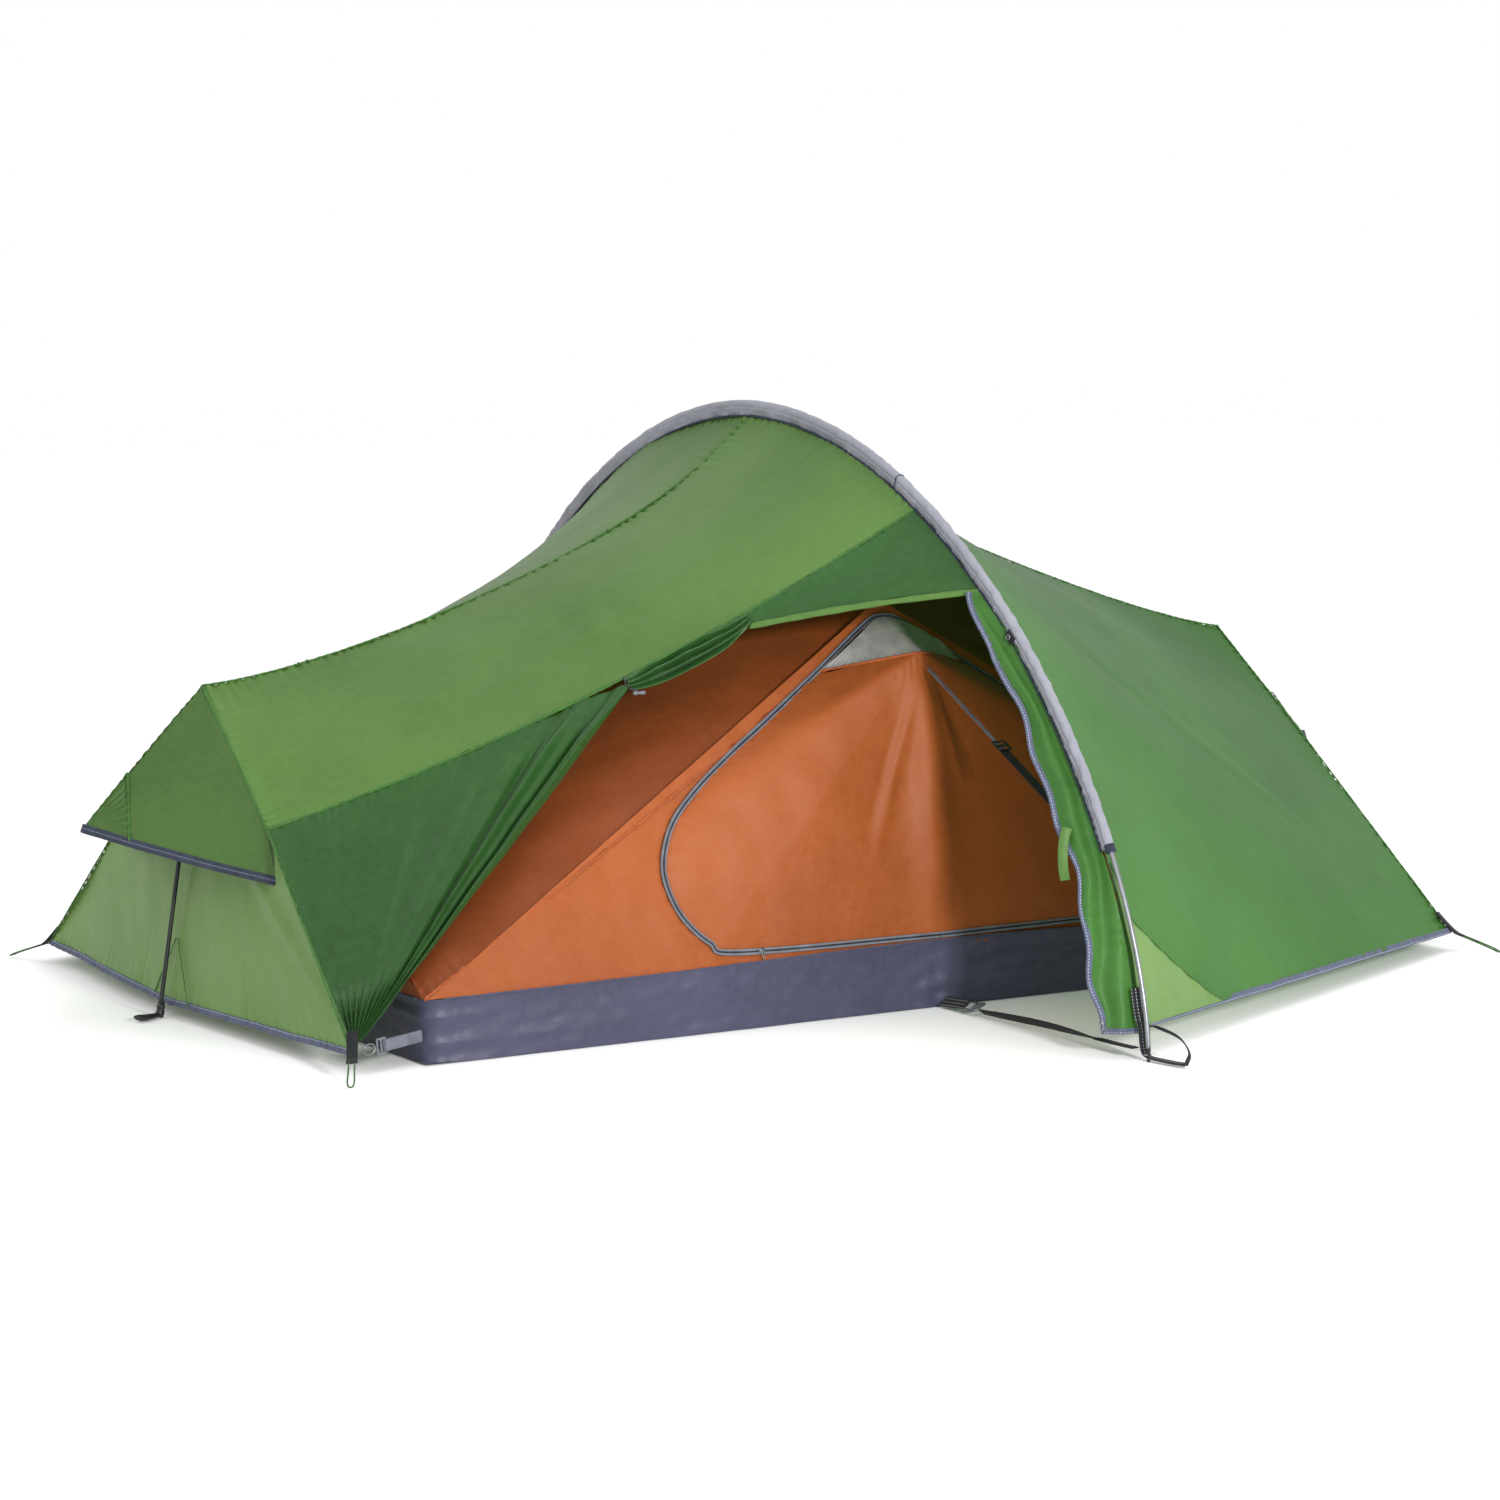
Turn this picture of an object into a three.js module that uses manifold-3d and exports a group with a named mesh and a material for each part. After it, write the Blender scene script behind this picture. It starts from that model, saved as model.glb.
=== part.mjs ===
// A three-person tent with one transverse arch pole, two short end poles, a flysheet with beak-shaped
// vent hoods, and a hung inner tent. Millimetres, +Z up, X along the sleepers, -Y towards the doorway.
import * as THREE from "three";
import Module from "manifold-3d";
import { mergeVertices } from "three/addons/utils/BufferGeometryUtils.js";

const wasm = await Module();
wasm.setup();

// ---- driving dimensions ------------------------------------------------------------------------
const CLOTH = 3; // every cloth panel's slab thickness
const SEAM_GAP = 5; // a panel's edge stops this far short of the seam line
const WEBBING = 2;
const BAND_THICKNESS = 1.6;

const ARCH_HALF_SPAN = 1383; // to the sleeve's outer edge
const ARCH_HEIGHT = 1149;
const ARCH_SPREAD_POWER = 1.0458; // the arch is fuller than an ellipse at its shoulders
const ARCH_RISE_POWER = 1.2223;
const POLE_INSET = 10; // sleeve's outer edge to pole centreline
const SLEEVE_WIDTH = 32;
const PANEL_INSET = 38; // sleeve's outer edge to the edge of the cloth panels
const SLEEVE_END_HEIGHT = 368;
const ARCH_HEM_HEIGHT = 60;
const FLAP_HEM_HEIGHT = 52;

const POLE_RADIUS = 4.25;
const POLE_BORE = 3.6;
const FERRULE_RADIUS = 2.8;
const FERRULE_BORE = 2;
const FERRULE_LENGTH = 55;
const SECTION_COUNT = 7;
const CORD_RADIUS = 1.2;
const TIP_TOP = 24; // height where the pole ends and its tip begins
const POLE_SIDES = 8;

const END_APEX = [1207, 0, 629];
const HOOD_TIP = [1454, 0, 374.5];
const HOOD_SIDE = [1219, 353, 298];
const SHOULDER = [1219, 317, 389];
const CORNER = [1250, 734, 42];
const END_HEM_MIDDLE = [1288, 0, 30];
const END_WALL_TOP = [1190, 0, 556];
const END_POLE_FOOT = [1309, 0, 12];
const END_POLE_SHOE = 0.035; // share of the end pole's height that its shoe takes up

const SEAM_ANGLE = Math.acos(0.48); // where the roof's lower seam meets the arch
const GABLE_ANGLE = Math.acos(0.637); // where the gable's hem meets the arch
const SEAM_SAG = 185;
const DOOR_TIE = 0.46; // share of the roof seam, from the arch, where the door is tied back
const GATHER_END = 0.73; // share of the roof seam, from the shoulder, where the gathered cloth ends
const GABLE_REACH = 0.27; // share of the roof seam, from the arch, that the gable hangs from
const FLAP_TOP_ANGLE = GABLE_ANGLE - 0.03; // the flap starts just above the gable's hem
const SHOULDER_BEND = 0.42; // share of an end edge, from the apex, where it turns at the shoulder

const FLOOR_HALF_LENGTH = 1100;
const FLOOR_HALF_WIDTH = 715;
const TUB_HEIGHT = 115;
const WALL_FOOT = [712, 119]; // half-width and height of the foot of the inner's long walls
const WALL_TOP = [512, 712];
const WALL_HALF_LENGTH = 1092;
const INNER_TOP = [0, 0, 1010];
const INNER_END = [1130, 0, 520];
const INNER_CORNER = [1096, 708, 119];
const DOOR_BULGE = 112; // how far the tension band's slit stands out from the wall's plane
const SLIT_RISE = 556; // slit's distance up the wall from its foot

const BAND_ANCHOR = [1212, 361]; // half-width and height of the band's anchor beside the arch
const BAND_TOP = [668, 648];
const ADJUSTER_AT = 0.47; // share of the band, from its top, where the adjuster sits

const GREEN = { fly: 0x4f8a45, door: 0x3d7038, light: 0x7d9c64, cord: 0x3f7a2c };
const ORANGE = 0xbf6c42;
const GREY = { sleeve: 0x8a8a92, tub: 0x62627a, webbing: 0x6f727c };
const BLACK = 0x1b1c1e;
const METAL = 0xb9bcc0;

// ---- small helpers -----------------------------------------------------------------------------
const vec = (a) => new THREE.Vector3(a[0], a[1], a[2]);
const mirrored = (a, sx, sy) => new THREE.Vector3(sx * a[0], sy * a[1], a[2]);
const mix = (a, b, t) => a.clone().lerp(b, t);
const shrink = (t, margin) => margin + t * (1 - 2 * margin);

// A point of the line a-b-c, which reaches b at the share bend of its run.
const bentLine = ([a, b, c], bend, t) => (t < bend ? mix(a, b, t / bend) : mix(b, c, (t - bend) / (1 - bend)));

// A closed solid, faces outwards, from shared vertices and triangles.
function closed(points, triangles) {
  let volume = 0;
  for (const [a, b, c] of triangles) volume += points[a].dot(points[b].clone().cross(points[c]));
  const index = volume < 0 ? triangles.map(([a, b, c]) => [a, c, b]) : triangles;
  const geometry = new THREE.BufferGeometry().setFromPoints(points);
  geometry.setIndex(index.flat());
  geometry.computeVertexNormals();
  return geometry;
}

// A cloth slab of even thickness over the surface pointAt(u, v), with u and v from 0 to 1.
function sheet(pointAt, across, along, thickness = CLOTH) {
  const rows = along + 1;
  const count = (across + 1) * rows;
  const step = 0.002;
  const clamp = (t) => Math.min(1 - step, Math.max(step, t));
  const middle = [];
  const offset = [];
  for (let i = 0; i <= across; i++) {
    for (let j = 0; j <= along; j++) {
      const [u, v] = [i / across, j / along];
      const du = pointAt(clamp(u) + step, clamp(v)).sub(pointAt(clamp(u) - step, clamp(v)));
      const dv = pointAt(clamp(u), clamp(v) + step).sub(pointAt(clamp(u), clamp(v) - step));
      middle.push(pointAt(u, v));
      offset.push(du.cross(dv).normalize().multiplyScalar(thickness / 2));
    }
  }
  const points = [
    ...middle.map((p, k) => p.clone().add(offset[k])),
    ...middle.map((p, k) => p.clone().sub(offset[k])),
  ];
  const faces = [];
  const quad = (a, b, c, d) => faces.push([a, b, c], [a, c, d]);
  for (let i = 0; i < across; i++) {
    for (let j = 0; j < along; j++) {
      const k = i * rows + j;
      quad(k, k + rows, k + rows + 1, k + 1);
      quad(k + count, k + count + 1, k + count + rows + 1, k + count + rows);
    }
  }
  const rim = [];
  for (let i = 0; i < across; i++) rim.push(i * rows);
  for (let j = 0; j < along; j++) rim.push(across * rows + j);
  for (let i = across; i > 0; i--) rim.push(i * rows + along);
  for (let j = along; j > 0; j--) rim.push(j);
  rim.forEach((k, n) => {
    const next = rim[(n + 1) % rim.length];
    quad(next, k, k + count, next + count);
  });
  return closed(points, faces);
}

// A slab whose mid-surface is a fan of triangles from the first point, thickened along one direction.
function fan(rim, direction, thickness = CLOTH) {
  const half = direction.clone().normalize().multiplyScalar(thickness / 2);
  const count = rim.length;
  const points = [
    ...rim.map((p) => p.clone().add(half)),
    ...rim.map((p) => p.clone().sub(half)),
  ];
  const faces = [];
  for (let k = 1; k < count - 1; k++) {
    faces.push([0, k, k + 1], [count, count + k + 1, count + k]);
  }
  for (let k = 0; k < count; k++) {
    const next = (k + 1) % count;
    faces.push([next, k, k + count], [next, k + count, next + count]);
  }
  return closed(points, faces);
}

function circle(radius, sides) {
  const shape = new THREE.Shape();
  for (let k = 0; k < sides; k++) {
    const a = (2 * Math.PI * k) / sides;
    const [x, y] = [radius * Math.cos(a), radius * Math.sin(a)];
    if (k) shape.lineTo(x, y);
    else shape.moveTo(x, y);
  }
  shape.closePath();
  return shape;
}

// A rod or, with a bore, a tube that follows a curve.
function tube(curve, radius, bore, sides, steps) {
  const shape = circle(radius, sides);
  if (bore) shape.holes.push(circle(bore, sides));
  return new THREE.ExtrudeGeometry(shape, { steps, bevelEnabled: false, extrudePath: curve });
}

// A body turned about the Z axis from its outline of [radius, height] pairs.
function turned(outline, sides) {
  const profile = outline.map(([r, z]) => new THREE.Vector2(r, z));
  return new THREE.LatheGeometry(profile, sides).rotateX(Math.PI / 2);
}

// Flat webbing through the given points, its width lying along one direction.
function ribbon(points, width, direction, steps, thickness = WEBBING) {
  const curve = new THREE.CatmullRomCurve3(points);
  const side = direction.clone().normalize().multiplyScalar(width / 2);
  const pointAt = (u, v) => curve.getPoint(u).addScaledVector(side, 2 * v - 1);
  return sheet(pointAt, steps, 1, thickness);
}

function solidOf(geometry) {
  const bare = geometry.clone();
  bare.deleteAttribute("normal");
  bare.deleteAttribute("uv");
  const merged = mergeVertices(bare, 1e-4);
  return new wasm.Manifold(
    new wasm.Mesh({
      numProp: 3,
      vertProperties: merged.attributes.position.array,
      triVerts: new Uint32Array(merged.index.array),
    }),
  );
}

function geometryOf(solid) {
  const mesh = solid.getMesh();
  const geometry = new THREE.BufferGeometry();
  geometry.setAttribute("position", new THREE.BufferAttribute(mesh.vertProperties, 3));
  geometry.setIndex(new THREE.BufferAttribute(mesh.triVerts, 1));
  geometry.computeVertexNormals();
  return geometry;
}

const join = (...parts) => geometryOf(parts.map(solidOf).reduce((a, b) => a.add(b)));
const cut = (body, tool) => geometryOf(solidOf(body).subtract(solidOf(tool)));

const tent = new THREE.Group();

function add(name, geometry, color, roughness = 0.8, metalness = 0) {
  const mesh = new THREE.Mesh(geometry, new THREE.MeshStandardMaterial({ color, roughness, metalness }));
  mesh.name = name;
  tent.add(mesh);
  return mesh;
}

// ---- the arch ----------------------------------------------------------------------------------
// A point of the arch, at an angle from the doorway foot (0) over the top to the back foot (pi).
function archPoint(angle, inset) {
  const c = Math.cos(angle);
  const y = -(ARCH_HALF_SPAN - inset) * Math.sign(c) * Math.abs(c) ** ARCH_SPREAD_POWER;
  const z = (ARCH_HEIGHT - inset) * Math.sin(angle) ** ARCH_RISE_POWER;
  return new THREE.Vector3(0, y, z);
}

const angleAtHeight = (z, inset) => Math.asin((z / (ARCH_HEIGHT - inset)) ** (1 / ARCH_RISE_POWER));

class ArchCurve extends THREE.Curve {
  constructor(inset, from, to) {
    super();
    Object.assign(this, { inset, from, to });
    this.arcLengthDivisions = 800;
  }
  getPoint(t) {
    return archPoint(this.from + t * (this.to - this.from), this.inset);
  }
}

// A stretch of another curve, between two shares of its length.
class Stretch extends THREE.Curve {
  constructor(whole, from, to) {
    super();
    Object.assign(this, { whole, from, to });
  }
  getPoint(t) {
    return this.whole.getPointAt(this.from + t * (this.to - this.from));
  }
}

// Seven shock-corded tube sections, each with the ferrule that plugs into the next one.
function addArchPole() {
  const foot = angleAtHeight(TIP_TOP, POLE_INSET);
  const whole = new ArchCurve(POLE_INSET, foot, Math.PI - foot);
  const length = whole.getLength();
  const gap = 0.4 / length;
  for (let k = 0; k < SECTION_COUNT; k++) {
    const [from, to] = [k / SECTION_COUNT + gap, (k + 1) / SECTION_COUNT - gap];
    let section = tube(new Stretch(whole, from, to), POLE_RADIUS, POLE_BORE, POLE_SIDES, 11);
    if (k < SECTION_COUNT - 1) {
      const plug = FERRULE_LENGTH / length;
      const ferrule = tube(new Stretch(whole, to - plug, to + plug), FERRULE_RADIUS, FERRULE_BORE, POLE_SIDES, 3);
      const collar = tube(new Stretch(whole, to - plug, to - gap), POLE_RADIUS - 0.3, FERRULE_BORE, POLE_SIDES, 1);
      section = join(section, ferrule, collar);
    }
    add("arch_section_" + (k + 1), section, METAL, 0.35, 0.9);
  }
  const inside = new Stretch(whole, 6 * gap, 1 - 6 * gap);
  add("arch_shock_cord", tube(inside, CORD_RADIUS, 0, 6, 56), 0x303236);
  addArchTip("arch_tip_front", -1, foot);
  addArchTip("arch_tip_back", 1, foot);
}

// A tip: a shouldered pin that stands on the ground under the pole's end.
function addArchTip(name, side, foot) {
  const top = archPoint(foot, POLE_INSET);
  const end = TIP_TOP - 0.8;
  const pin = turned([[0, 0], [2.6, 0], [3, 2], [3, 17], [4.2, 18.5], [4.2, end], [0, end]], 12);
  pin.translate(0, side * Math.abs(top.y), 0);
  add(name, geometryOf(solidOf(pin)), BLACK, 0.5);
}

// The fabric sleeve: a flattened tube that narrows from the pole to the seam line inside it.
function addSleeve() {
  const end = angleAtHeight(SLEEVE_END_HEIGHT, POLE_INSET);
  const run = new ArchCurve(POLE_INSET, Math.PI - end, end);
  const shape = new THREE.Shape();
  const outer = -POLE_INSET + 1.5;
  const inner = SLEEVE_WIDTH - POLE_INSET;
  shape.moveTo(0, outer);
  shape.bezierCurveTo(9.5, outer, 9.5, 4, 8, 7);
  shape.bezierCurveTo(5, 12, 2.4, 16, 2.2, inner);
  shape.lineTo(-2.2, inner);
  shape.bezierCurveTo(-2.4, 16, -5, 12, -8, 7);
  shape.bezierCurveTo(-9.5, 4, -9.5, outer, 0, outer);
  shape.holes.push(circle(POLE_RADIUS + 1.9, POLE_SIDES));
  const steps = 34;
  const options = { steps, bevelEnabled: false, extrudePath: run, curveSegments: 2 };
  add("arch_sleeve", new THREE.ExtrudeGeometry(shape, options), GREY.sleeve);
}

// ---- flysheet ----------------------------------------------------------------------------------
// The central ridge seam hangs from the arch to an end apex; the right one is pulled straighter.
function ridgePoint(side, u) {
  const top = archPoint(Math.PI / 2, PANEL_INSET).z;
  const rise = top - END_APEX[2];
  const [share, power] = side < 0 ? [0.83, 1.45] : [0.89, 1.25];
  const fall = share * (1 - u) ** power + (1 - share) * (1 - u) ** 8;
  return new THREE.Vector3(side * END_APEX[0] * u, 0, END_APEX[2] + rise * fall);
}

// The lower seam of a roof panel, from its arch end (0) to the shoulder (1).
function roofSeamPoint(side, u) {
  const start = archPoint(SEAM_ANGLE, PANEL_INSET);
  const end = mirrored(SHOULDER, side, -1);
  const point = mix(start, end, u);
  point.z -= SEAM_SAG * u * (1 - u);
  return point;
}

// A patch filled in between four edges: u runs from the arch to the tent's end, v from top to hem.
function patch(arch, end, top, hem) {
  const corners = [arch(0), arch(1), end(0), end(1)];
  return (u, v) =>
    top(u).multiplyScalar(1 - v)
      .addScaledVector(hem(u), v)
      .addScaledVector(arch(v), 1 - u)
      .addScaledVector(end(v), u)
      .addScaledVector(corners[0], -(1 - u) * (1 - v))
      .addScaledVector(corners[1], -(1 - u) * v)
      .addScaledVector(corners[2], -u * (1 - v))
      .addScaledVector(corners[3], -u * v);
}

// A whole quarter of the flysheet, from the ridge to the hem; toFront is 1 or -1.
function quarter(side, toFront) {
  const flip = (p) => new THREE.Vector3(p.x, toFront * p.y, p.z);
  const hemAngle = angleAtHeight(ARCH_HEM_HEIGHT, PANEL_INSET);
  const apex = mirrored(END_APEX, side, 1);
  const shoulder = mirrored(SHOULDER, side, -1);
  const corner = mirrored(CORNER, side, -1);
  const arch = (v) => archPoint(Math.PI / 2 + v * (hemAngle - Math.PI / 2), PANEL_INSET);
  const end = (v) => bentLine([apex, shoulder, corner], SHOULDER_BEND, v);
  const hem = (u) => mix(archPoint(hemAngle, PANEL_INSET), corner, u);
  const whole = patch(arch, end, (u) => ridgePoint(side, u), hem);
  return (u, v) => flip(whole(shrink(u, 0.0035), shrink(v, 0.003)));
}

function roofLeftFront() {
  const arch = (v) => archPoint(Math.PI / 2 + v * (SEAM_ANGLE - Math.PI / 2), PANEL_INSET);
  const end = (v) => mix(mirrored(END_APEX, -1, 1), mirrored(SHOULDER, -1, -1), v);
  const whole = patch(arch, end, (u) => ridgePoint(-1, u), (u) => roofSeamPoint(-1, u));
  return (u, v) => whole(shrink(u, 0.0035), shrink(v, 0.008));
}

// The front door, tied back: flat beside the corner, gathered into a narrow fall beyond the tie.
function frontDoor() {
  const corner = mirrored(CORNER, -1, -1);
  const tie = roofSeamPoint(-1, DOOR_TIE);
  const tieLow = tie.clone().add(new THREE.Vector3(-10, -34, -62));
  const gatherEnd = roofSeamPoint(-1, 1 - GATHER_END).add(new THREE.Vector3(0, -6, -16));
  const tieShare = (1 - DOOR_TIE) / GATHER_END;
  return (s, t) => {
    const top = roofSeamPoint(-1, 1 - GATHER_END * shrink(s, 0.006));
    const low = bentLine([corner, tieLow, gatherEnd], tieShare, shrink(s, 0.02));
    return mix(top.add(new THREE.Vector3(0, -2, -8)), low, t);
  };
}

// The small gable above the doorway, between the roof seam, the arch and its own rolled hem.
function gable() {
  const low = archPoint(GABLE_ANGLE, PANEL_INSET);
  const end = roofSeamPoint(-1, GABLE_REACH).add(new THREE.Vector3(0, -8, -20));
  const arch = (t) => archPoint(SEAM_ANGLE + t * (GABLE_ANGLE - SEAM_ANGLE), PANEL_INSET);
  const top = (s) => roofSeamPoint(-1, s * GABLE_REACH * 0.94);
  const hem = (s) => mix(low, end, s);
  const edge = (t) => mix(top(1), end, t);
  const whole = patch(arch, edge, top, hem);
  return (s, t) => whole(0.012 + 0.98 * s, shrink(t, 0.03 + 0.1 * s)).add(new THREE.Vector3(0, -2, -4));
}

const FLAP_DIRECTION = new THREE.Vector3(-0.86, 0.48, 0);

// The strip of cloth that stays on the sleeve at the doorway's right and carries the zip.
function doorwayFlap() {
  const hemAngle = angleAtHeight(FLAP_HEM_HEIGHT, PANEL_INSET);
  return (s, t) => {
    const edge = archPoint(FLAP_TOP_ANGLE + s * (hemAngle - FLAP_TOP_ANGLE), PANEL_INSET);
    const width = 46 + 26 * s;
    edge.x -= 4;
    return edge.addScaledVector(FLAP_DIRECTION, width * t);
  };
}

function addFlysheet() {
  add("roof_left_front", sheet(roofLeftFront(), 10, 5), GREEN.fly);
  add("side_left_back", sheet(quarter(-1, -1), 10, 10), GREEN.fly);
  add("side_right_front", sheet(quarter(1, 1), 10, 10), GREEN.fly);
  add("side_right_back", sheet(quarter(1, -1), 10, 10), GREEN.fly);
  add("front_door", sheet(frontDoor(), 14, 3), GREEN.door);
  add("doorway_gable", sheet(gable(), 6, 3), GREEN.door);
  add("doorway_flap", sheet(doorwayFlap(), 14, 2), GREEN.fly);
}

// One end of the flysheet: a beak hood of two panels over a recessed lower wall.
function addEnd(name, side) {
  const outward = new THREE.Vector3(side, 0, 0);
  const clear = SEAM_GAP - 1;
  for (const [half, sy] of [["front", -1], ["back", 1]]) {
    const top = mirrored(END_APEX, side, sy).add(new THREE.Vector3(side * 6, sy * clear, 2));
    const tip = mirrored(HOOD_TIP, side, sy).add(new THREE.Vector3(0, sy * clear, 0));
    const low = mirrored(HOOD_SIDE, side, sy).add(new THREE.Vector3(side * 6, 0, 0));
    const shoulder = mirrored(SHOULDER, side, sy).add(new THREE.Vector3(side * 6, sy * 2, 2));
    const pointAt = (u, v) => mix(mix(top, tip, u), mix(shoulder, low, u), v);
    add("hood_" + name + "_" + half, sheet(pointAt, 3, 3), GREEN.fly);
  }
  const inset = (p, sy) => mirrored(p, side, sy).add(new THREE.Vector3(-side * 15, -sy * 9, 0));
  const rim = [
    mirrored(END_WALL_TOP, side, 1),
    inset([SHOULDER[0], SHOULDER[1], SHOULDER[2] - 8], -1),
    inset(CORNER, -1),
    mirrored(END_HEM_MIDDLE, side, 1),
    inset(CORNER, 1),
    inset([SHOULDER[0], SHOULDER[1], SHOULDER[2] - 8], 1),
  ];
  add("end_wall_" + name, fan(rim, outward), GREEN.light);
}

// A short upright pole in the end apex, and the shoe that stands on the ground.
function addEndPole(name, side) {
  const foot = mirrored(END_POLE_FOOT, side, 1);
  const top = mirrored(END_APEX, side, 1).add(new THREE.Vector3(side * 6, 0, -24));
  const run = new THREE.LineCurve3(mix(foot, top, END_POLE_SHOE), top);
  add("end_pole_" + name, tube(run, POLE_RADIUS, POLE_BORE, 12, 1), BLACK, 0.4);
  const cup = turned([[0, 0], [6, 0], [8, 3], [8, 12], [6.4, 24], [6.4, 30], [5, 30], [5, 18], [0, 18]], 16);
  const upright = new THREE.Vector3(0, 0, 1);
  cup.applyQuaternion(new THREE.Quaternion().setFromUnitVectors(upright, top.clone().sub(foot).normalize()));
  cup.translate(foot.x, 0, 1.6);
  const toe = ribbon([
    new THREE.Vector3(foot.x + side * 2, 0, 5),
    new THREE.Vector3(foot.x + side * 28, -12, 4),
    new THREE.Vector3(foot.x + side * 58, -28, 8),
  ], 18, new THREE.Vector3(0.4, side * 0.9, 0), 4, 6);
  add("end_pole_shoe_" + name, join(geometryOf(solidOf(cup)), toe), BLACK, 0.6);
}

// ---- inner tent --------------------------------------------------------------------------------
const wallRun = new THREE.Vector2(WALL_FOOT[0] - WALL_TOP[0], WALL_TOP[1] - WALL_FOOT[1]);
const wallRise = wallRun.length();
const upWall = new THREE.Vector3(0, wallRun.x / wallRise, wallRun.y / wallRise);
const outOfWall = new THREE.Vector3(0, -upWall.z, upWall.y);

// A point of the inner's front wall: x along it, up its slope, and out of its plane.
const wallPoint = (x, up, out = 0) =>
  new THREE.Vector3(x, -WALL_FOOT[0], WALL_FOOT[1]).addScaledVector(upWall, up).addScaledVector(outOfWall, out);

// Half of the door's outline, from the slit line round to the middle of its bottom edge.
function doorSide(side, grow) {
  const knots = [
    [176, 546], [300, 462], [398, 398], [485, 334], [543, 276],
    [573, 212], [574, 158], [552, 100], [505, 50], [440, 26],
  ];
  const grown = knots.map(([x, up]) => new THREE.Vector3(side * (x + grow), up - 0.6 * grow, 0));
  return new THREE.CatmullRomCurve3(grown).getPoints(20);
}

function doorOutline(grow) {
  const right = doorSide(1, grow);
  const left = doorSide(-1, grow);
  const top = [[-46 - grow, 634 + grow], [-14, 650 + grow], [14, 650 + grow], [46 + grow, 634 + grow]];
  return [
    ...top.map(([x, up]) => new THREE.Vector2(x, up)),
    ...right.map((p) => new THREE.Vector2(p.x, p.y)),
    ...left.reverse().map((p) => new THREE.Vector2(p.x, p.y)),
  ];
}

function planarPanel(outline, hole) {
  const shape = new THREE.Shape(outline.map(([x, up]) => new THREE.Vector2(x, up)));
  if (hole) shape.holes.push(new THREE.Path(hole));
  const geometry = new THREE.ExtrudeGeometry(shape, { depth: CLOTH, bevelEnabled: false });
  geometry.translate(0, 0, -CLOTH / 2);
  const basis = new THREE.Matrix4().makeBasis(new THREE.Vector3(1, 0, 0), upWall, outOfWall);
  basis.setPosition(wallPoint(0, 0));
  return geometry.applyMatrix4(basis);
}

function addInnerDoor() {
  const right = doorSide(1, -SEAM_GAP + 2);
  const left = doorSide(-1, -SEAM_GAP + 2);
  const slit = wallPoint(0, SLIT_RISE - 4, DOOR_BULGE);
  const below = [...right, ...left.reverse()].map((p) => wallPoint(p.x, p.y));
  add("inner_door", fan([slit, ...below], outOfWall), ORANGE);
  const above = doorOutline(-SEAM_GAP + 2).slice(0, 4).map((p) => wallPoint(p.x, p.y));
  const slitTop = wallPoint(0, SLIT_RISE + 7, DOOR_BULGE - 6);
  const sideEnd = (side) => wallPoint(side * 164, SLIT_RISE - 3);
  add("inner_door_vent", fan([slitTop, sideEnd(-1), ...above, sideEnd(1)], outOfWall), GREY.sleeve);
}

function innerRoof(side, toFront) {
  const flip = (p) => new THREE.Vector3(p.x, toFront * p.y, p.z);
  const front = new THREE.Vector3(0, -WALL_TOP[0] + 4, WALL_TOP[1] + 12);
  const corner = mirrored(INNER_CORNER, side, -1);
  const top = vec(INNER_TOP);
  const end = mirrored(INNER_END, side, 1);
  const arch = (v) => {
    const p = mix(top, front, v);
    p.z += 95 * v * (1 - v);
    return p;
  };
  const ridge = (u) => {
    const p = mix(top, end, u);
    p.z -= 165 * u * (1 - u) ** 1.4;
    return p;
  };
  const whole = patch(arch, (v) => mix(end, corner, v), ridge, (u) => mix(front, corner, u));
  return (u, v) => flip(whole(shrink(u, 0.004), shrink(v, 0.006)));
}

function addGroundsheet() {
  const tray = (grow, low, high) =>
    new THREE.BoxGeometry(2 * (FLOOR_HALF_LENGTH - grow), 2 * (FLOOR_HALF_WIDTH - grow), high - low)
      .translate(0, 0, (low + high) / 2);
  const tub = cut(tray(0, 0, TUB_HEIGHT), tray(CLOTH, CLOTH, TUB_HEIGHT + 1));
  const tabs = [-1, 1].map((toFront) => ribbon(
    [new THREE.Vector3(0, toFront * (FLOOR_HALF_WIDTH - 2), 10), new THREE.Vector3(0, toFront * 800, 10)],
    25, new THREE.Vector3(1, 0, 0), 1));
  add("groundsheet", join(tub, ...tabs), GREY.tub);
}

function addInner() {
  addGroundsheet();
  const foot = [[-WALL_HALF_LENGTH, 0], [WALL_HALF_LENGTH, 0]];
  const front = [...foot, [60, 634], [18, 664], [-18, 664], [-60, 634]];
  add("inner_front_wall", planarPanel(front, doorOutline(0)), ORANGE);
  const trimmed = 0.985; // the back wall's peak is cut off just below its corner
  const peak = WALL_HALF_LENGTH * (1 - trimmed);
  const rise = wallRise * trimmed + 12;
  const back = planarPanel([...foot, [peak, rise], [-peak, rise]]);
  back.rotateZ(Math.PI);
  add("inner_back_wall", back, ORANGE);
  addInnerDoor();
  for (const [end, side] of [["left", -1], ["right", 1]]) {
    for (const [half, toFront] of [["front", 1], ["back", -1]]) {
      add("inner_roof_" + end + "_" + half, sheet(innerRoof(side, toFront), 6, 5), ORANGE);
    }
    const rim = [mirrored(INNER_END, side, 1).add(new THREE.Vector3(0, 0, -14)),
      mirrored(INNER_CORNER, side, -1).add(new THREE.Vector3(0, 10, 0)),
      mirrored(INNER_CORNER, side, 1).add(new THREE.Vector3(0, -10, 0))];
    add("inner_end_" + end, fan(rim, new THREE.Vector3(side, 0, 0)), ORANGE);
  }
}

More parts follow.
